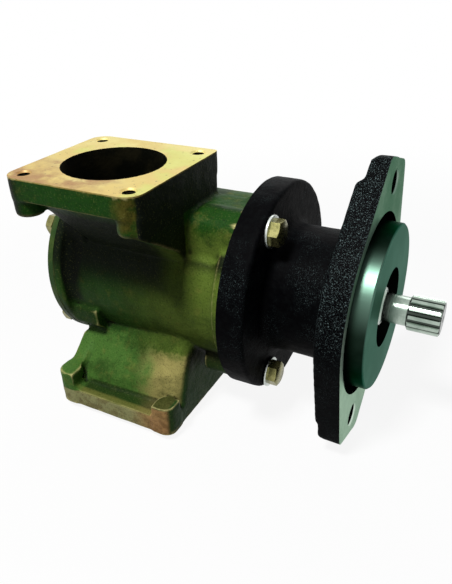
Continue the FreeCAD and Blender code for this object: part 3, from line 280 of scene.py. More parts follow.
def cast(name, pieces):
    """One rough casting of overlapping pieces: run together, softened and a little uneven."""
    mesh = bmesh.new()
    for piece in pieces:
        mesh.from_mesh(piece.data)
        bpy.data.objects.remove(piece)
    casting = object_of(name, mesh)
    skin = casting.modifiers.new("skin", "REMESH")
    skin.mode = "VOXEL"
    skin.voxel_size = 1.15 * MM
    soften = casting.modifiers.new("soften", "SMOOTH")
    soften.factor = 0.5
    soften.iterations = 8
    clouds = bpy.data.textures.new("uneven sand", "CLOUDS")
    clouds.noise_scale = 9 * MM
    clouds.noise_depth = 1
    uneven = casting.modifiers.new("uneven", "DISPLACE")
    uneven.texture = clouds
    uneven.texture_coords = "LOCAL"
    uneven.mid_level = 1
    uneven.strength = 0.45 * MM
    thin = casting.modifiers.new("thin", "DECIMATE")
    thin.ratio = 0.45
    settle(casting)
    bpy.data.textures.remove(clouds)
    return casting


def stepped_bore(name, start, steps):
    """Tool along X for a bore of several steps, each given by its radius and its far end."""
    corners = [(start, 0, 0)]
    for radius, end in steps:
        corners += [(corners[-1][0], radius, 0), (end, radius, 0)]
    return turned(name, corners + [(corners[-1][0], 0, 0)])


# What a tool leaves behind, as a place in dress()'s finishes, where the cast skin is 0.
MACHINED_FACE, CORED_HOLE = 1, 2
pump_body = cast("pump_body_casting", raw_pieces)
machine(pump_body, [slab("block", "x", cover_joint_x, drive_joint_x, square_outline(
    -130, 130, -face_z, face_z, 0))], MACHINED_FACE, "INTERSECT")


def tapped(face, way, centre, radius=4, core_radius=3.5, depth=17, pitch=1.25):
    """Tool for a tapped hole in a port's face: threads down to a plain bottom."""
    corners = [(face - way, 0, 0), (face - way, radius, 0)]
    reach = 0.5
    while reach < depth - 2 * pitch:
        corners += [(face + way * (reach + pitch / 2), core_radius, 0),
                    (face + way * (reach + pitch), radius, 0)]
        reach += pitch
    corners += [(face + way * depth, core_radius, 0), (face + way * (depth + 1.5), 0, 0)]
    return turned("tapped_hole", corners, 32, "z", centre)


def countersink(face, way, centre, radius=4, mouth_radius=5.9, depth=0.9):
    """Tool for the broken mouth of a port's tapped hole."""
    corners = [(face - way, 0, 0), (face - way, mouth_radius, 0),
               (face + way * depth, radius, 0), (face + way * depth, 0, 0)]
    return turned("countersink", corners, 32, "z", centre)


def passage(name, y, bore, side, throat):
    """Tool for a port: a bored mouth that tapers into a slot in the chamber's wall."""
    slot_half, slot_start, slot_end = 26, 34, 20
    mouth = square_outline(port_x - bore, port_x + bore, y - bore, y + bore, bore)
    slot = square_outline(port_x - slot_half, port_x + slot_half, -38, -8, 10)
    return stacked(name, "z", [(side * (face_z + 1), mouth), (throat, mouth),
                               (side * slot_start, slot), (side * slot_end, slot)])


machine(pump_body, [passage("upper_passage", upper_y, upper_bore, 1, upper_underside),
                    passage("lower_passage", lower_y, lower_bore, -1, lower_topside)],
        CORED_HOLE)
machine(pump_body, [stepped_bore("chamber", -198, [
    (46, -112.5), (24, -94), (21, -84), (14.5, -80), (31, -74.25), (36.05, -70)])],
    MACHINED_FACE)
port_holes = [(face_z, -1, place) for place in upper_holes]
port_holes += [(-face_z, 1, place) for place in lower_holes]
holes = [tapped(*port_hole) for port_hole in port_holes]
holes += [rod("hole", cover_thread_radius, -199, cover_thread_bottom, "x", seat, 32)
          for seat in cover_screw_seats]
holes += [rod("hole", bolt_thread_radius, bolt_thread_bottom, -70, "x", seat, 32)
          for seat in adapter_bolt_seats]
holes.append(rod("weep_hole", weep_hole_radius, -70, 0, "z", (weep_hole_x, 0)))
machine(pump_body, [countersink(*port_hole) for port_hole in port_holes], MACHINED_FACE)
machine(pump_body, holes, CORED_HOLE)
shade(pump_body, 32)


class Socket:
    """One socket of a material's tree, so that shader maths reads as an expression."""

    def __init__(self, tree, link=None):
        self.tree = tree
        self.link = link

    def node(self, kind, settings=None, values=None, out=0):
        """Adds a node: its settings come first, then the values or links of its sockets."""
        node = self.tree.nodes.new(kind)
        for name, setting in (settings or {}).items():
            setattr(node, name, setting)
        for name, value in (values or {}).items():
            if isinstance(value, Socket):
                self.tree.links.new(value.link, node.inputs[name])
            else:
                node.inputs[name].default_value = value
        return None if out is None else Socket(self.tree, node.outputs[out])

    def maths(self, operation, first, second):
        return self.node("ShaderNodeMath", {"operation": operation}, {0: first, 1: second})

    def __add__(self, other):
        return self.maths("ADD", self, other)

    def __sub__(self, other):
        return self.maths("SUBTRACT", self, other)

    def __rsub__(self, other):
        return self.maths("SUBTRACT", other, self)

    def __mul__(self, other):
        return self.maths("MULTIPLY", self, other)

    def __gt__(self, other):
        return self.maths("GREATER_THAN", self, other)

    __radd__ = __add__
    __rmul__ = __mul__

    def step(self, low, high):
        """0 below low and 1 above high, with a soft rise between."""
        return self.node("ShaderNodeMapRange", {"interpolation_type": "SMOOTHSTEP"},
                         {"Value": self, "From Min": low, "From Max": high})

    def part(self, axis):
        """One coordinate of a place."""
        return self.node("ShaderNodeSeparateXYZ", None, {0: self}, out="XYZ".index(axis))

    def tint(self, colour, other):
        """The first colour where the mask is 0 and the other where it is 1."""
        return self.node("ShaderNodeMix", {"data_type": "RGBA"},
                         {0: self, 6: colour, 7: other}, out=2)

    def noise(self, scale, detail=3, roughness=0.5):
        """Cloudy pattern over a place, about 1/scale metres to a cloud."""
        return self.node("ShaderNodeTexNoise", None, {"Vector": self, "Scale": scale,
                                                      "Detail": detail, "Roughness": roughness})

    def stretched(self, x, y, z):
        """The place with each axis scaled, to draw a pattern out into streaks."""
        return self.node("ShaderNodeMapping", None, {"Vector": self, "Scale": (x, y, z)})

    def relief(self, depth, under=None):
        """Normal of a surface whose height follows the mask, to a depth in millimetres."""
        values = {"Height": self, "Distance": depth * MM}
        if under:
            values["Normal"] = under
        return self.node("ShaderNodeBump", None, values)


def rgb(red, green, blue):
    """Linear colour of a display colour from 0 to 255."""
    linear = [((value / 255 + 0.055) / 1.055) ** 2.4 if value > 10 else value / 255 / 12.92
              for value in (red, green, blue)]
    return (*linear, 1)


def new_material(name):
    """Empty material, and the place on the piece that its patterns start from."""
    material = bpy.data.materials.new(name)
    material.use_nodes = True
    material.node_tree.nodes.clear()
    return material, Socket(material.node_tree).node("ShaderNodeTexCoord", out="Object")


def coat(place, values):
    """Ends a material in one surface shader with these socket values."""
    surface = place.node("ShaderNodeBsdfPrincipled", None, values)
    place.node("ShaderNodeOutputMaterial", None, {"Surface": surface}, out=None)


def standing_proud(place):
    """How far a casting's point stands proud of what is round it, as note_edges keeps it."""
    return place.node("ShaderNodeAttribute", {"attribute_name": "proud"}, out=2)


def green_bronze():
    """Sand-cast bronze skin gone green: painted shade above, olive by the drive end as painted
    light, and brown at the foot, worn and painted lighter on its fronts.
    """
    material, place = new_material("green_bronze_casting")
    x, y, z = place.part("X"), place.part("Y"), place.part("Z")
    cloud = place.noise(36, 5, 0.62)
    patch = place.noise(115, 4, 0.62)
    sand = place.noise(1000, 2, 0.65)
    lumps = place.noise(260, 3)
    proud = standing_proud(place)
    drift = (cloud - 0.5) * 0.05
    along_x, height = x + drift, z + drift

    # The barrel, the lower neck and the upper port have a green of their own, under clouds.
    # The barrel's olive towards the drive end is painted light, past the port flange's shadow.
    colour = along_x.step(-0.16, -0.105).tint(rgb(40, 74, 24), rgb(88, 108, 40))
    # The lower neck turns tan to its right: wear, with a painted highlight on its right edge.
    lower = along_x.step(-0.14, -0.118).tint(rgb(70, 108, 44), rgb(164, 154, 92))
    colour = height.step(-0.034, -0.044).tint(colour, lower)
    # Painted shade: the upper port and the deck are darker green.
    colour = height.step(0.036, 0.052).tint(colour, rgb(24, 64, 13))
    colour = (cloud.step(0.44, 0.66) * 0.6).tint(colour, rgb(24, 46, 11))
    colour = (patch.step(0.52, 0.78) * 0.35).tint(colour, rgb(128, 124, 60))
    corner = x.step(-0.12, -0.108) * y.step(-0.076, -0.084) * z.step(0.05, 0.056)
    colour = (corner * patch.step(0.35, 0.6) * 0.45).tint(colour, rgb(104, 80, 32))

    # The foot is bare and brown round its rim and down its front right pad, with painted light
    #     # on those fronts, and the right pad's top gets painted shade.
    rim = x.step(-0.135, -0.115).tint(rgb(164, 162, 112), rgb(176, 136, 88))
    rim = (patch.step(0.42, 0.6) * 0.5).tint(rim, rgb(98, 70, 38))
    right_pad = x.step(-0.1175, -0.1165)
    front_of_pad = right_pad * z.step(-0.063, -0.0638)
    worn_and_lit_front = (z.step(-0.0714, -0.0722) + front_of_pad) * y.step(-0.074, -0.0775) * 0.9
    colour = worn_and_lit_front.tint(colour, rim)
    # Painted shade on the top of the front right pad.
    shaded_pad_top = right_pad * y.step(-0.062, -0.065) * z.step(-0.066, -0.0635)
    shaded_pad_top *= z.step(-0.055, -0.06) * (1 - worn_and_lit_front)
    colour = (shaded_pad_top * 0.85).tint(colour, rgb(40, 52, 16))

    # Painted shade lies under the upper port, in the corner behind the cover's flange, round
    #     # the lug there, on the side towards the drive and in the crease at the foot of the lower
    #     neck.
    port_shadow = x.step(-0.106, -0.122) * z.step(-0.004, 0.02) * z.step(0.0696, 0.0686)
    port_shadow *= y.step(-0.077, -0.07) * y.step(0.01, -0.01)
    channel_shade = x.step(-0.1915, -0.1905) * x.step(-0.177, -0.185) * z.step(-0.02, -0.012)
    channel_shade *= y.step(0, -0.02)
    drive_side_shade = y.step(-0.0445, -0.0465) * z.step(0.022, 0.032)
    drive_side_shade += z.step(0.058, 0.06) + z.step(-0.03, -0.04)
    drive_side_shade *= x.step(-0.1045, -0.1022)
    # Painted shade round the lug.
    lug = x.step(-0.1715, -0.174) * y.step(-0.038, -0.042) * z.step(-0.043, -0.04)
    lug *= z.step(-0.017, -0.021)
    colour = (lug * 0.55).tint(colour, rgb(12, 26, 6))
    # Painted shade in the crease at the foot of the lower neck, olive towards the rim's edge.
    ledge = z.step(-0.0676, -0.0692) * y.step(-0.06, -0.064) * x.step(-0.178, -0.172)
    ledge *= x.step(-0.112, -0.118) * (1 - worn_and_lit_front)
    ledge_shade = y.step(-0.0748, -0.0722).tint(rgb(104, 98, 48), rgb(14, 24, 6))
    colour = (ledge * 0.75).tint(colour, ledge_shade)
    # Painted shade: nearly black above, dark green low down.
    painted_shade = z.step(-0.04, -0.058).tint(rgb(5, 11, 4), rgb(26, 66, 26))
    colour = ((port_shadow + channel_shade + drive_side_shade) * 0.95).tint(colour, painted_shade)

    # The top edge is rubbed bright; whatever stands proud is rubbed bright with a painted
    #     # highlight, and hollows get painted shade.
    colour = (z.step(0.0822, 0.0829) * 0.8).tint(colour, rgb(196, 170, 96))
    # Rubbed wear and a painted highlight on what stands proud.
    rubbed_and_highlit = proud.step(0.05, 0.17) * (0.4 + patch * 0.6)
    rubbed_and_highlit *= (1 - port_shadow) * (1 - drive_side_shade * z.step(0.05, 0.056))
    rubbed_and_highlit *= (1 - x.step(-0.189, -0.192) * z.step(0.05, 0.04) * 0.75)
    colour = rubbed_and_highlit.tint(colour, rgb(206, 196, 132))
    # Painted shade in the hollows.
    colour = (proud.step(-0.03, -0.13) * 0.85).tint(colour, rgb(4, 8, 3))
    colour = (sand.step(0.56, 0.76) * 0.22).tint(colour, rgb(150, 156, 90))
    colour = (sand.step(0.46, 0.3) * 0.5).tint(colour, rgb(14, 22, 6))
    coat(place, {"Base Color": colour, "Metallic": 0.05,
                 "Roughness": 0.42 + patch * 0.2 - rubbed_and_highlit * 0.15,
                 "Specular IOR Level": 0.06, "Normal": sand.relief(0.2, lumps.relief(0.45))})
    return material


def machined_bronze():
    """Milled bronze face, gold with pinkish and faintly green patches and a few dark pits."""
    material, place = new_material("machined_bronze_face")
    cloud = place.noise(30, 4, 0.62)
    blotch = place.noise(70, 5, 0.7)
    marks = place.stretched(60, 900, 900).noise(1, 2)
    towards_front = place.part("X") * -0.35 - place.part("Y") + (cloud - 0.5) * 0.15
    pink = towards_front.step(0.108, 0.145) * blotch.step(0.3, 0.54)
    green = (place.noise(40, 3) + place.part("X") * 2.2).step(0.2, 0.36)
    pits = place.noise(420, 2).step(0.66, 0.72)
    colour = cloud.step(0.4, 0.64).tint(rgb(212, 188, 110), rgb(222, 208, 132))
    colour = (pink * 0.9).tint(colour, rgb(158, 114, 66))
    colour = (blotch.step(0.6, 0.8) * 0.6).tint(colour, rgb(150, 124, 66))
    colour = (green * 0.45).tint(colour, rgb(196, 214, 106))
    colour = (pits * 0.7).tint(colour, rgb(96, 74, 40))
    coat(place, {"Base Color": colour, "Metallic": 0.3, "Roughness": 0.42 + marks * 0.16,
                 "Normal": marks.relief(0.02)})
    return material


def cored_passage():
    """Inside of the ports and holes: a cored skin, painted nearly black as the shade in there."""
    material, place = new_material("cored_passage")
    cloud = place.noise(60, 4, 0.6).step(0.45, 0.7)
    sand = place.noise(500, 3, 0.6)
    coat(place, {"Base Color": cloud.tint(rgb(7, 8, 4), rgb(24, 22, 11)),
                 "Roughness": 0.55 + cloud * 0.2, "Specular IOR Level": 0.05,
                 "Normal": sand.relief(0.3)})
    return material


def note_edges(piece):
    """Keeps at each point how far it stands proud, or below 0 how far it lies in a hollow."""
    data = piece.data
    points = np.empty(len(data.vertices) * 3)
    facing = np.empty(len(data.vertices) * 3)
    ends = np.empty(len(data.edges) * 2, dtype=np.int32)
    data.vertices.foreach_get("co", points)
    data.vertices.foreach_get("normal", facing)
    data.edges.foreach_get("vertices", ends)
    points, facing = points.reshape(-1, 3), facing.reshape(-1, 3)
    start, end = ends.reshape(-1, 2).T
    way = points[start] - points[end]
    way /= np.linalg.norm(way, axis=1, keepdims=True) + 1e-12
    count = np.bincount(ends, minlength=len(points)) + 1e-6

    def gathered(at_start, at_end):
        total = np.bincount(start, at_start, len(points)) + np.bincount(end, at_end, len(points))
        return total / count

    proud = gathered((way * facing[start]).sum(axis=1), -(way * facing[end]).sum(axis=1))
    for again in range(2):
        proud = (proud + gathered(proud[end], proud[start])) / 2
    data.attributes.new("proud", "FLOAT", "POINT").data.foreach_set("value", proud)


def dress(piece, surfaces):
    """Gives a casting its skin, and each worked face the surface that its tool has left."""
    piece.data.materials.clear()
    for material in surfaces:
        piece.data.materials.append(material)
    steps = worked.pop(piece)
    for face in piece.data.polygons:
        for surface, tools in steps:
            if tools.find_nearest(face.center, 0.004 * MM)[0]:
                face.material_index = surface


note_edges(pump_body)
dress(pump_body, [green_bronze(), machined_bronze(), cored_passage()])
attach(pump_body, "pump_housing")
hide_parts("pump_body")

# Bearing housing. One iron casting under black paint: a round flange against the
# body, a short barrel over the two bearings and a two-eared engine flange. The engine
# face, its groove and the pilot are machined after painting and stay bare.

flange_back, flange_radius, ear_end, ear_half, flange_turn = -16, 62, 87.4, 20, -19
ear_step, ear_step_slope, ear_step_depths = 71.5, 2.2, (1.6, 4.5)
engine_hole_radius, engine_hole_reach, spot_face_radius = 7.15, 73.025, 13
barrel_radius, round_flange_radius, round_flange_x = 41, 67.6, -55.1
pilot_radius, pilot_front, pilot_chamfer = 50.8, 9.5, 1
groove_radius, groove_bottom = 56.4, -2.4
bearing_seat_radius, ring_groove_radius, nose_bore_radius = 31.05, 32.55, 24.5
washer_hole_radius, spigot_radius, spigot_end = 5.15, 36, -74.2


def lozenge():
    """Outline of the engine flange, upright: straight sides off a round middle to each ear."""
    reach = math.hypot(ear_half, ear_end)
    lean = math.atan2(ear_end, ear_half) - math.acos(flange_radius / reach)
    meeting = flange_radius / math.cos(lean)
    return rounded([(ear_half, -ear_end, 9), (meeting, 0, flange_radius), (ear_half, ear_end, 9),
                    (-ear_half, ear_end, 9), (-meeting, 0, flange_radius),
                    (-ear_half, -ear_end, 9)], 5)


def clocked(point):
    """An upright flange's point at the angle that the engine flange is turned to."""
    turn = math.radians(flange_turn)
    return Vector((point[0] * math.cos(turn) - point[1] * math.sin(turn),
                   point[0] * math.sin(turn) + point[1] * math.cos(turn)))


def ear_cut(side, levels):
    """Tool that takes metal off one ear's back, from a shoulder at these levels outwards."""
    shoulder = [(x, [clocked(point) for point in ((-40, side * start), (40, side * start),
                                                  (40, side * 95), (-40, side * 95))])
                for x, start in levels]
    return stacked("ear_step", "x", shoulder)


PAINT, FACED_EAR, TURNED_PILOT, SHADED_BORE = range(4)
outline = [clocked(point) for point in lozenge()]
flange_holes = [clocked((0, z)) for z in (-engine_hole_reach, engine_hole_reach)]
plate = slab("plate", "x", flange_back, stock, outline)
for side, depth in zip((-1, 1), ear_step_depths):
    low_x = flange_back + depth
    machine(plate, [ear_cut(side, ((flange_back - 1, ear_step - ear_step_slope),
                                   (low_x, ear_step + ear_step_slope))),
                    ear_cut(side, ((flange_back - 1, ear_end - 5.5), (low_x, ear_end - 3.5),
                                   (low_x + 3, ear_end - 0.6), (low_x + 5, ear_end + 1)))],
            PAINT)
trunk = turned("trunk", [
    (-75, 0, 0), (-75, round_flange_radius, 0), (round_flange_x, round_flange_radius, 2),
    (round_flange_x, barrel_radius, 5), (flange_back, barrel_radius, 5),
    (flange_back, flange_radius - 1, 0), (stock, flange_radius - 1, 0), (stock, 0, 0)], 160)
bearing_housing = cast("bearing_housing_casting", [trunk, plate])
machine(bearing_housing, [slab("block", "x", drive_joint_x, 0, square_outline(
    -110, 110, -110, 110, 0))], FACED_EAR, "INTERSECT")
machine(bearing_housing, [turned("groove", [
    (groove_bottom, 40, 0), (groove_bottom, groove_radius, 0.6), (1, groove_radius, 0),
    (1, 40, 0)], 160)], SHADED_BORE)
machine(bearing_housing, [
    turned("pilot", [(groove_bottom, 0, 0), (groove_bottom, pilot_radius, 0),
                     (pilot_front - pilot_chamfer, pilot_radius, 0),
                     (pilot_front, pilot_radius - pilot_chamfer, 0), (pilot_front, 0, 0)], 160),
    rod("spigot", spigot_radius, spigot_end, -60, sides=96)], TURNED_PILOT, "UNION")
machine(bearing_housing, [turned("mouth", [
    (-0.8, 0, 0), (-0.8, engine_hole_radius, 0), (1, engine_hole_radius + 1.8, 0), (1, 0, 0)],
    48, "x", hole) for hole in flange_holes], FACED_EAR)
cuts = [stepped_bore("bore", -76, [
    (bearing_seat_radius, -61.55), (ring_groove_radius, -59.5), (bearing_seat_radius, -12),
    (nose_bore_radius, 10)])]
cuts += [rod("hole", engine_hole_radius, -20, 2, "x", hole) for hole in flange_holes]
cuts += [rod("hole", washer_hole_radius, -80, -50, "x", seat, 32)
         for seat in adapter_bolt_seats]
machine(bearing_housing, cuts, SHADED_BORE)
machine(bearing_housing, [rod("spot_face", spot_face_radius, -20, flange_back + 4.5, "x", hole)
                          for hole in flange_holes], PAINT)
shade(bearing_housing, 32)


def black_paint():
    """Thin black paint over rough sand-cast iron, whose grain shows through in painted glints."""
    material, place = new_material("black_on_cast_iron")
    sand = place.noise(1600, 3, 0.8)
    lumps = place.noise(300, 3)
    patches = place.noise(50, 3).step(0.42, 0.62)
    # Painted glints on the grain, thickest on the upper part of the engine flange.
    on_ears = place.part("X").step(-0.024, -0.014) * place.part("Z").step(-0.02, 0.03)
    painted_glints = sand.step(0.56, 0.7) * (on_ears * 0.75 + patches * 0.25)
    colour = lumps.step(0.4, 0.7).tint(rgb(1, 1, 2), rgb(5, 6, 7))
    colour = painted_glints.tint(colour, rgb(140, 164, 164))
    # Rubbed wear, with a painted highlight, on the paint's proud edges.
    rubbed_and_highlit = standing_proud(place).step(0.08, 0.25) * patches
    colour = (rubbed_and_highlit * 0.25).tint(colour, rgb(70, 84, 84))
    coat(place, {"Base Color": colour, "Roughness": 0.45 + lumps * 0.2,
                 "Specular IOR Level": 0.02, "Normal": sand.relief(0.1, lumps.relief(0.35))})
    return material


def machined_iron(name, dark, pale, roughness, tint):
    """Faced grey iron with fine marks of the tool, darker above and paler below."""
    material, place = new_material(name)
    film = place.noise(30, 4, 0.6).step(0.38, 0.66)
    marks = place.stretched(300, 500, 500).noise(1, 2)
    paler_below = place.part("Z").step(0.05, -0.03) * 0.75 + film * 0.25
    coat(place, {"Base Color": paler_below.tint(dark, pale), "Metallic": 1, "Specular Tint": tint,
                 "Roughness": roughness + marks * 0.16, "Normal": marks.relief(0.02)})
    return material


def off_axis(place):
    """Distance of a place from the shaft's axis."""
    return place.node("ShaderNodeVectorMath", {"operation": "LENGTH"},
                      {0: place.stretched(0, 1, 1)}, out=1)


def turning_marks(along_tool):
    """Fine lathe marks, one after another along the tool's way."""
    return along_tool.node("ShaderNodeTexNoise", {"noise_dimensions": "1D"},
                           {"W": along_tool, "Scale": 2200, "Detail": 1})


def turned_pilot():
    """Pilot turned from the casting: a side painted dark as shade, with a painted highlight in
    front, and a pale face.
    """
    material, place = new_material("turned_iron_pilot")
    film = place.noise(34, 4, 0.6).step(0.38, 0.66)
    rings = turning_marks(off_axis(place))
    height = place.part("Z")
    on_face = place.part("X").step(0.0085, 0.0094)
    # The side is painted dark as shade, and a patch in front of it gets a painted highlight.
    side = film.tint(rgb(12, 24, 17), rgb(24, 38, 30))
    painted_highlight = height.step(0.006, 0.026) * height.step(0.05, 0.038)
    painted_highlight *= place.part("Y").step(-0.012, -0.026)
    side = (painted_highlight * 0.8).tint(side, rgb(88, 116, 102))
    front = film.tint(rgb(58, 92, 78), rgb(74, 108, 94))
    coat(place, {"Base Color": on_face.tint(side, front), "Metallic": 1,
                 "Specular Tint": (0.4, 0.55, 0.48, 1),
                 "Roughness": 0.36 + on_face * 0.04, "Normal": rings.relief(0.012)})
    return material


note_edges(bearing_housing)
faced_iron = machined_iron("faced_iron_ear", rgb(104, 128, 114), rgb(206, 224, 208), 0.32,
                           (0.3, 0.44, 0.33, 1))
# The bores, the groove and the holes are painted nearly black as shade.
shaded_bore = machined_iron("shaded_iron_bore", rgb(6, 9, 8), rgb(14, 18, 16), 0.4,
                          (0.05, 0.06, 0.06, 1))
dress(bearing_housing, [black_paint(), faced_iron, turned_pilot(), shaded_bore])
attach(bearing_housing, "pump_housing")
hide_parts("adapter_housing", "engine_flange")

# Adapter bolts and washers. Three hexagon bolts in yellow zinc plate hold the bearing
# housing to the body, each on a plain washer in clear zinc. They are tightened by spanner,
# so no two heads stop at the same turn.


def new_tree(name, sizes):
    """Geometry Nodes tree with a named input for each size, and those inputs as sockets."""
    tree = bpy.data.node_groups.new(name, "GeometryNodeTree")
    tree.interface.new_socket("Pieces", in_out="OUTPUT", socket_type="NodeSocketGeometry")
    for size in sizes:
        tree.interface.new_socket(size, in_out="INPUT", socket_type="NodeSocketFloat")
    start = tree.nodes.new("NodeGroupInput")
    return {size: Socket(tree, start.outputs[size]) for size in sizes}


def moved(shape, place=(0, 0, 0), turn=(0, 0, 0)):
    """A tree's geometry, turned and then moved along by sockets or numbers."""
    vectors = [shape.node("ShaderNodeCombineXYZ", None, dict(zip("XYZ", vector)))
               for vector in (place, turn)]
    return shape.node("GeometryNodeTransform", None, {"Geometry": shape,
                                                      "Translation": vectors[0],
                                                      "Rotation": vectors[1]})


def placed(seats, shape, seat_x, way, turn):
    """Puts a shape at each seat, gives it a turn of its own and stands it along X."""
    free_turn = shape.node("FunctionNodeRandomValue", {"data_type": "FLOAT"},
                           {"Min": -turn, "Max": turn, "Seed": 4}, out=1)
    turns = shape.node("ShaderNodeCombineXYZ", None, {"Z": free_turn})
    set_out = shape.node("GeometryNodeInstanceOnPoints", None,
                         {"Points": seats, "Instance": shape, "Rotation": turns})
    return moved(set_out, (seat_x, 0, 0), (0, way * math.pi / 2, 0))


def joined(shapes, operation="UNION"):
    """Exact union or overlap of closed shapes of a tree."""
    whole = shapes[0].tree.nodes.new("GeometryNodeMeshBoolean")
    whole.operation = operation
    for shape in shapes:
        shape.tree.links.new(shape.link, whole.inputs["Mesh 2"])
    return Socket(shapes[0].tree, whole.outputs[0])


def grown(name, end, material, sizes):
    """Ends a tree in plain faces of one material, and makes its piece with these sizes."""
    real = end.node("GeometryNodeRealizeInstances", None, {"Geometry": end})
    coated = end.node("GeometryNodeSetMaterial", None, {"Geometry": real, "Material": material})
    coated.node("NodeGroupOutput", None, {"Pieces": coated}, out=None)
    piece = in_scene(name, bpy.data.meshes.new(name))
    grower = piece.modifiers.new("grower", "NODES")
    grower.node_group = end.tree
    for item in end.tree.interface.items_tree:
        if item.in_out == "INPUT":
            grower[item.identifier] = float(sizes[item.name])
    settle(piece)
    shade(piece, 30)
    return piece


def bolt_seats(size):
    """The three places on the bolt circle, with one of them at the back."""
    circle = size["Seat"].node("GeometryNodeMeshCircle", None, {
        "Vertices": len(adapter_bolt_angles), "Radius": size["Bolt circle"]})
    return moved(circle, turn=(0, 0, math.pi / 2))


def hexagon_bolt(size):
    """Bolt that stands head up on Z = 0, its head's corners cut back by a shallow cone."""
    across, tall = size["Across flats"], size["Head height"] * 1.25
    flat_top, cone_slope, shank_overlap = across * 0.46, 1.9, 1 * MM
    prism = across.node("GeometryNodeMeshCylinder", None, {
        "Vertices": 6, "Radius": across * (1 / math.sqrt(3)), "Depth": tall})
    prism = moved(prism, (0, 0, tall * 0.5), (0, 0, math.pi / 2))
    cone = across.node("GeometryNodeMeshCone", None, {
        "Vertices": 72, "Radius Top": flat_top, "Radius Bottom": flat_top + tall * cone_slope,
        "Depth": tall})
    cone = moved(cone, (0, 0, size["Head height"] - tall))
    shank = across.node("GeometryNodeMeshCylinder", None, {
        "Vertices": 40, "Radius": size["Shank radius"], "Depth": size["Length"]})
    shank = moved(shank, (0, 0, shank_overlap - size["Length"] * 0.5))
    return joined([joined([prism, cone], "INTERSECT"), shank])


def plated(name, colour, other, roughness):
    """Zinc plate with a faint bloom, scuffed a little darker."""
    material, place = new_material(name)
    bloom = place.noise(160, 3, 0.6).step(0.35, 0.65)
    scuffs = place.noise(700, 3, 0.65)
    tone = bloom.tint(colour, other)
    tone = (scuffs.step(0.6, 0.75) * 0.5).tint(tone, rgb(120, 104, 60))
    coat(place, {"Base Color": tone, "Metallic": 0.85, "Roughness": roughness + scuffs * 0.2,
                 "Normal": scuffs.relief(0.04)})
    return material


yellow_zinc = plated("yellow_zinc_plate", rgb(150, 146, 94), rgb(116, 114, 68), 0.18)
clear_zinc = plated("clear_zinc_plate", rgb(222, 228, 222), rgb(196, 204, 198), 0.18)
washer_thickness = 1.6
screw_sizes = ("Across flats", "Head height", "Shank radius", "Length")
size = new_tree("adapter_bolts", screw_sizes + ("Bolt circle", "Seat"))
bolts = grown("adapter_hex_bolts",
              placed(bolt_seats(size), hexagon_bolt(size), size["Seat"], 1, 0.12),
              yellow_zinc, {"Across flats": 14.3 * MM, "Head height": 6.2 * MM,
                            "Shank radius": 4.75 * MM, "Length": 38 * MM,
                            "Bolt circle": adapter_bolt_circle * MM,
                            "Seat": (round_flange_x + washer_thickness) * MM})

size = new_tree("adapter_washers", ("Outer radius", "Hole radius", "Thickness", "Bolt circle",
                                    "Seat"))
width = size["Outer radius"] - size["Hole radius"]
edge = size["Seat"].node("GeometryNodeCurvePrimitiveQuadrilateral", None, {
    "Width": width, "Height": size["Thickness"]})
edge = edge.node("GeometryNodeFilletCurve", {"mode": "POLY"}, {
    "Curve": edge, "Count": 3, "Radius": size["Thickness"] * 0.3})
ring = edge.node("GeometryNodeCurvePrimitiveCircle", None, {
    "Resolution": 64, "Radius": (size["Outer radius"] + size["Hole radius"]) * 0.5})
ring = edge.node("GeometryNodeCurveToMesh", None, {"Curve": ring, "Profile Curve": edge})
ring = moved(ring, (0, 0, size["Thickness"] * 0.5))
washers = grown("adapter_plain_washers", placed(bolt_seats(size), ring, size["Seat"], 1, 0.5),
                clear_zinc, {"Outer radius": 9.8 * MM, "Hole radius": washer_hole_radius * MM,
                             "Thickness": washer_thickness * MM,
                             "Bolt circle": adapter_bolt_circle * MM,
                             "Seat": round_flange_x * MM})
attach(bolts, "pump_housing")
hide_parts("adapter_bolts")
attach(washers, "pump_housing")
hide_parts("adapter_washers")

# Cover screws. Four hexagon screws of the next smaller size hold the end cover, in two
# pairs, one above and one below the shaft.

cover_thickness = 5
size = new_tree("cover_screws", screw_sizes + ("Pair width", "Pair height", "Seat"))
seats = size["Seat"].node("GeometryNodeMeshGrid", None, {
    "Size X": size["Pair height"], "Size Y": size["Pair width"], "Vertices X": 2,
    "Vertices Y": 2})
pair_y, pair_z = around(cover_screw_angles[0], 2 * cover_screw_circle)
screws = grown("cover_hex_screws", placed(seats, hexagon_bolt(size), size["Seat"], -1, 0.3),
               yellow_zinc, {"Across flats": 12.7 * MM, "Head height": 5.4 * MM,
                             "Shank radius": 3.95 * MM, "Length": 18 * MM,
                             "Pair width": pair_y * MM, "Pair height": pair_z * MM,
                             "Seat": (cover_joint_x - cover_thickness) * MM})
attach(screws, "pump_housing")
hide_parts("cover_screws")

# Drive shaft. Ground steel, which runs through both bearings to the impeller, with thirteen
# # teeth cut at its driven end. Oil keeps it bright, and painted shade lies dark between the
# teeth.


def finished(finish, *nodes):
    """Gives pieces that keep the construction's shape their finish."""
    for node in nodes:
        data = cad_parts[node].data
        data.materials.clear()
        data.materials.append(finish)


def ground_steel():
    """Shaft steel with fine grinding marks, and painted shade nearly black at the roots of the
    teeth.
    """
    material, place = new_material("ground_shaft_steel")
    film = place.noise(90, 3, 0.6).step(0.35, 0.65)
    on_teeth = place.part("X").step(0.0214, 0.0222)
    # Painted shade at the roots of the teeth.
    root_shade = off_axis(place).step(0.0104, 0.0094) * on_teeth
    colour = film.tint(rgb(176, 190, 178), rgb(146, 162, 150))
    colour = (root_shade * 0.85).tint(colour, rgb(22, 26, 22))
    marks = turning_marks(place.part("X"))
    coat(place, {"Base Color": colour, "Metallic": 1, "Roughness": 0.17 + marks * 0.1,
                 "Normal": marks.relief(0.012)})
    return material


finished(ground_steel(), "drive_shaft")

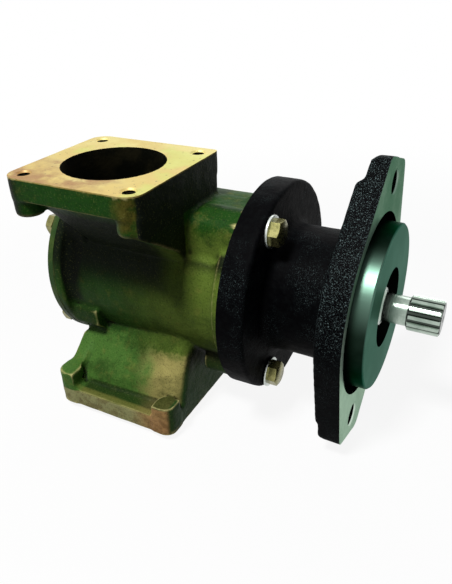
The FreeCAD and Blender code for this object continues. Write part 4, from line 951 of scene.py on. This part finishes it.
# End cover. A cast bronze disc over the far end of the body, faced and drilled where the
# screws seat, with a rubber ring in its groove and a recess that saves metal.


def cover_bronze():
    """The cover's green cast skin, with a bare band faced round its screws."""
    material, place = new_material("cover_bronze")
    cloud = place.noise(60, 4, 0.6).step(0.42, 0.66)
    sand = place.noise(900, 2, 0.65)
    radius = off_axis(place)
    faced = (radius.step(0.034, 0.0345) * place.part("X").step(-0.2012, -0.2015)
             * radius.step(0.0602, 0.0598))
    skin = cloud.tint(rgb(34, 62, 20), rgb(66, 84, 34))
    bright = cloud.tint(rgb(196, 172, 104), rgb(172, 148, 86))
    coat(place, {"Base Color": (faced * 0.9).tint(skin, bright), "Metallic": faced * 0.3,
                 "Roughness": 0.5 - faced * 0.12, "Specular IOR Level": 0.15,
                 "Normal": sand.relief(0.22)})
    return material


def moulded_rubber(name, colour, bloom_colour):
    """Moulded rubber with a dusty bloom."""
    material, place = new_material(name)
    bloom = place.noise(120, 3, 0.6).step(0.4, 0.7)
    grain = place.noise(1500, 2)
    coat(place, {"Base Color": bloom.tint(colour, bloom_colour), "Roughness": 0.5 + bloom * 0.2,
                 "Specular IOR Level": 0.3, "Normal": grain.relief(0.03)})
    return material


black_rubber = moulded_rubber("black_nitrile_rubber", rgb(18, 18, 19), rgb(36, 36, 36))
finished(cover_bronze(), "end_cover")
finished(black_rubber, "cover_o_ring")

# Impeller, cam and wear plate. The rubber impeller is moulded on a bronze hub that a steel
# key drives; the cam behind the ports bends its vanes, and a loose bronze plate that a pin
# keeps from turning takes the wear at its back.


def bare_metal(name, colour, film_colour, roughness, metallic=0.9):
    """Turned or pressed metal with fine marks and a faint uneven film."""
    material, place = new_material(name)
    film = place.noise(80, 3, 0.6).step(0.35, 0.65)
    marks = turning_marks(off_axis(place))
    coat(place, {"Base Color": film.tint(colour, film_colour), "Metallic": metallic,
                 "Roughness": roughness + marks * 0.14, "Normal": marks.relief(0.01)})
    return material


turned_bronze = bare_metal("turned_bronze", rgb(206, 168, 98), rgb(180, 140, 82), 0.26)
stainless = bare_metal("stainless_steel", rgb(192, 194, 194), rgb(168, 172, 174), 0.2)
oiled_steel = bare_metal("oiled_steel", rgb(120, 122, 122), rgb(92, 94, 96), 0.3)
finished(moulded_rubber("impeller_rubber", rgb(22, 22, 24), rgb(44, 43, 42)), "impeller_rubber")
finished(turned_bronze, "impeller_hub", "cam", "wear_plate")
finished(oiled_steel, "impeller_key")
finished(stainless, "cam_pin", "wear_plate_pin")

# Shaft seal. A ceramic ring rests in a rubber cup in the body, and a carbon ring runs on
# it, pressed there by a spring in a rubber bellows on the shaft. A slinger and a lip seal
# keep what leaks past from the bearings.

finished(bare_metal("white_ceramic", rgb(232, 228, 214), rgb(222, 217, 202), 0.16, 0), "seal_seat")
finished(bare_metal("lapped_carbon", rgb(48, 48, 50), rgb(36, 36, 38), 0.28, 0), "seal_carbon")
finished(black_rubber, "seal_seat_cup", "seal_bellows", "slinger")
finished(stainless, "seal_retainer", "seal_spring")
finished(oiled_steel, "lip_seal_case")
finished(moulded_rubber("brown_seal_rubber", rgb(84, 44, 28), rgb(100, 58, 40)), "lip_seal_rubber")

# Bearings, spacers and retaining rings. Two ball bearings are held apart by steel sleeves,
# and kept in the housing and on the shaft by rings of blackened spring steel.

race_steel = bare_metal("bearing_race_steel", rgb(200, 204, 204), rgb(176, 182, 182), 0.12, 1)
brass_cage = bare_metal("pressed_brass_cage", rgb(190, 160, 92), rgb(160, 132, 74), 0.28)
spring_steel = bare_metal("blackened_spring_steel", rgb(44, 44, 46), rgb(66, 66, 68), 0.3)
for row in ("front", "rear"):
    finished(race_steel, f"{row}_bearing_outer_ring", f"{row}_bearing_inner_ring",
             f"{row}_bearing_balls")
    finished(brass_cage, f"{row}_bearing_cage")
finished(oiled_steel, "outer_spacer", "inner_spacer")
finished(spring_steel, "housing_retaining_ring", "shaft_retaining_ring")

# Studio: a pale floor, a white surround, two soft lamps and the camera at the photograph's
# place. Most of the light comes from a small box high in front, and a weak one is behind.


def seen_by_eye_or_mirror(start):
    """1 for rays from the camera, a mirror or a glass, and 0 for light on its way round."""
    rays = start.tree.nodes.new("ShaderNodeLightPath").outputs
    kinds = [Socket(start.tree, rays[name])
             for name in ("Is Camera Ray", "Is Glossy Ray", "Is Transmission Ray")]
    return (kinds[0] + kinds[1] + kinds[2]) > 0.5


def pale_floor():
    """White that the camera and mirrors see at full strength, with the object's shadow on it."""
    material, place = new_material("pale_floor")
    seen = seen_by_eye_or_mirror(place)
    bounced, looked_at = (0.15, 0.15, 0.15, 1), (0.86, 0.86, 0.86, 1)
    matt = place.node("ShaderNodeBsdfDiffuse", None, {"Color": seen.tint(bounced, looked_at)})
    glow = place.node("ShaderNodeEmission", None, {"Color": (1, 1, 1, 1), "Strength": 1})
    distance = place.node("ShaderNodeVectorMath", {"operation": "LENGTH"}, {0: place}, out=1)
    near_share = 0.9
    share = distance.step(0.25, 0.7) * (1 - near_share) + near_share
    mixed = place.node("ShaderNodeMixShader", None, {0: seen * share, 1: matt, 2: glow})
    mixed.node("ShaderNodeOutputMaterial", None, {"Surface": mixed}, out=None)
    return material


floor_height, floor_reach = -0.0885, 9
floor_mesh = bmesh.new()
for side_x, side_y in ((-1, -1), (1, -1), (1, 1), (-1, 1)):
    floor_mesh.verts.new((side_x * floor_reach, side_y * floor_reach, floor_height))
floor_mesh.faces.new(floor_mesh.verts[:])
floor = piece_of("floor", floor_mesh)
floor.data.materials.append(pale_floor())

fill_light = 0.03
world = bpy.data.worlds.new("studio")
bpy.context.scene.world = world
world.use_nodes = True
world.node_tree.nodes.clear()
air = Socket(world.node_tree)
seen = seen_by_eye_or_mirror(air)
air = air.node("ShaderNodeBackground", None, {
    "Color": (1, 1, 1, 1), "Strength": seen * (1 - fill_light) + fill_light})
air.node("ShaderNodeOutputWorld", None, {"Surface": air}, out=None)


def soft_lamp(name, place, target, width, power):
    """Square soft box that faces a target."""
    lamp = bpy.data.lights.new(name, "AREA")
    lamp.shape = "SQUARE"
    lamp.size = width
    lamp.energy = power
    holder = in_scene(name, lamp)
    holder.location = place
    holder.rotation_euler = (Vector(target) - Vector(place)).to_track_quat("-Z", "Y").to_euler()


middle = (-0.09, -0.02, 0)
soft_lamp("overhead", (-0.2, -0.6, 1.07), middle, 0.22, 16)
soft_lamp("behind", (-0.3, 1.2, 0.7), middle, 0.6, 3)

camera = in_scene("camera", bpy.data.cameras.new("camera"))
camera.location = (0.065932, -0.310385, 0.187449)
camera.rotation_euler = (1.046408, 0.025891, 0.476630)
camera.data.lens = 36.389
camera.data.sensor_width = 36
camera.data.clip_start = 0.01
bpy.context.scene.camera = camera
bpy.context.scene.view_settings.view_transform = "Standard"
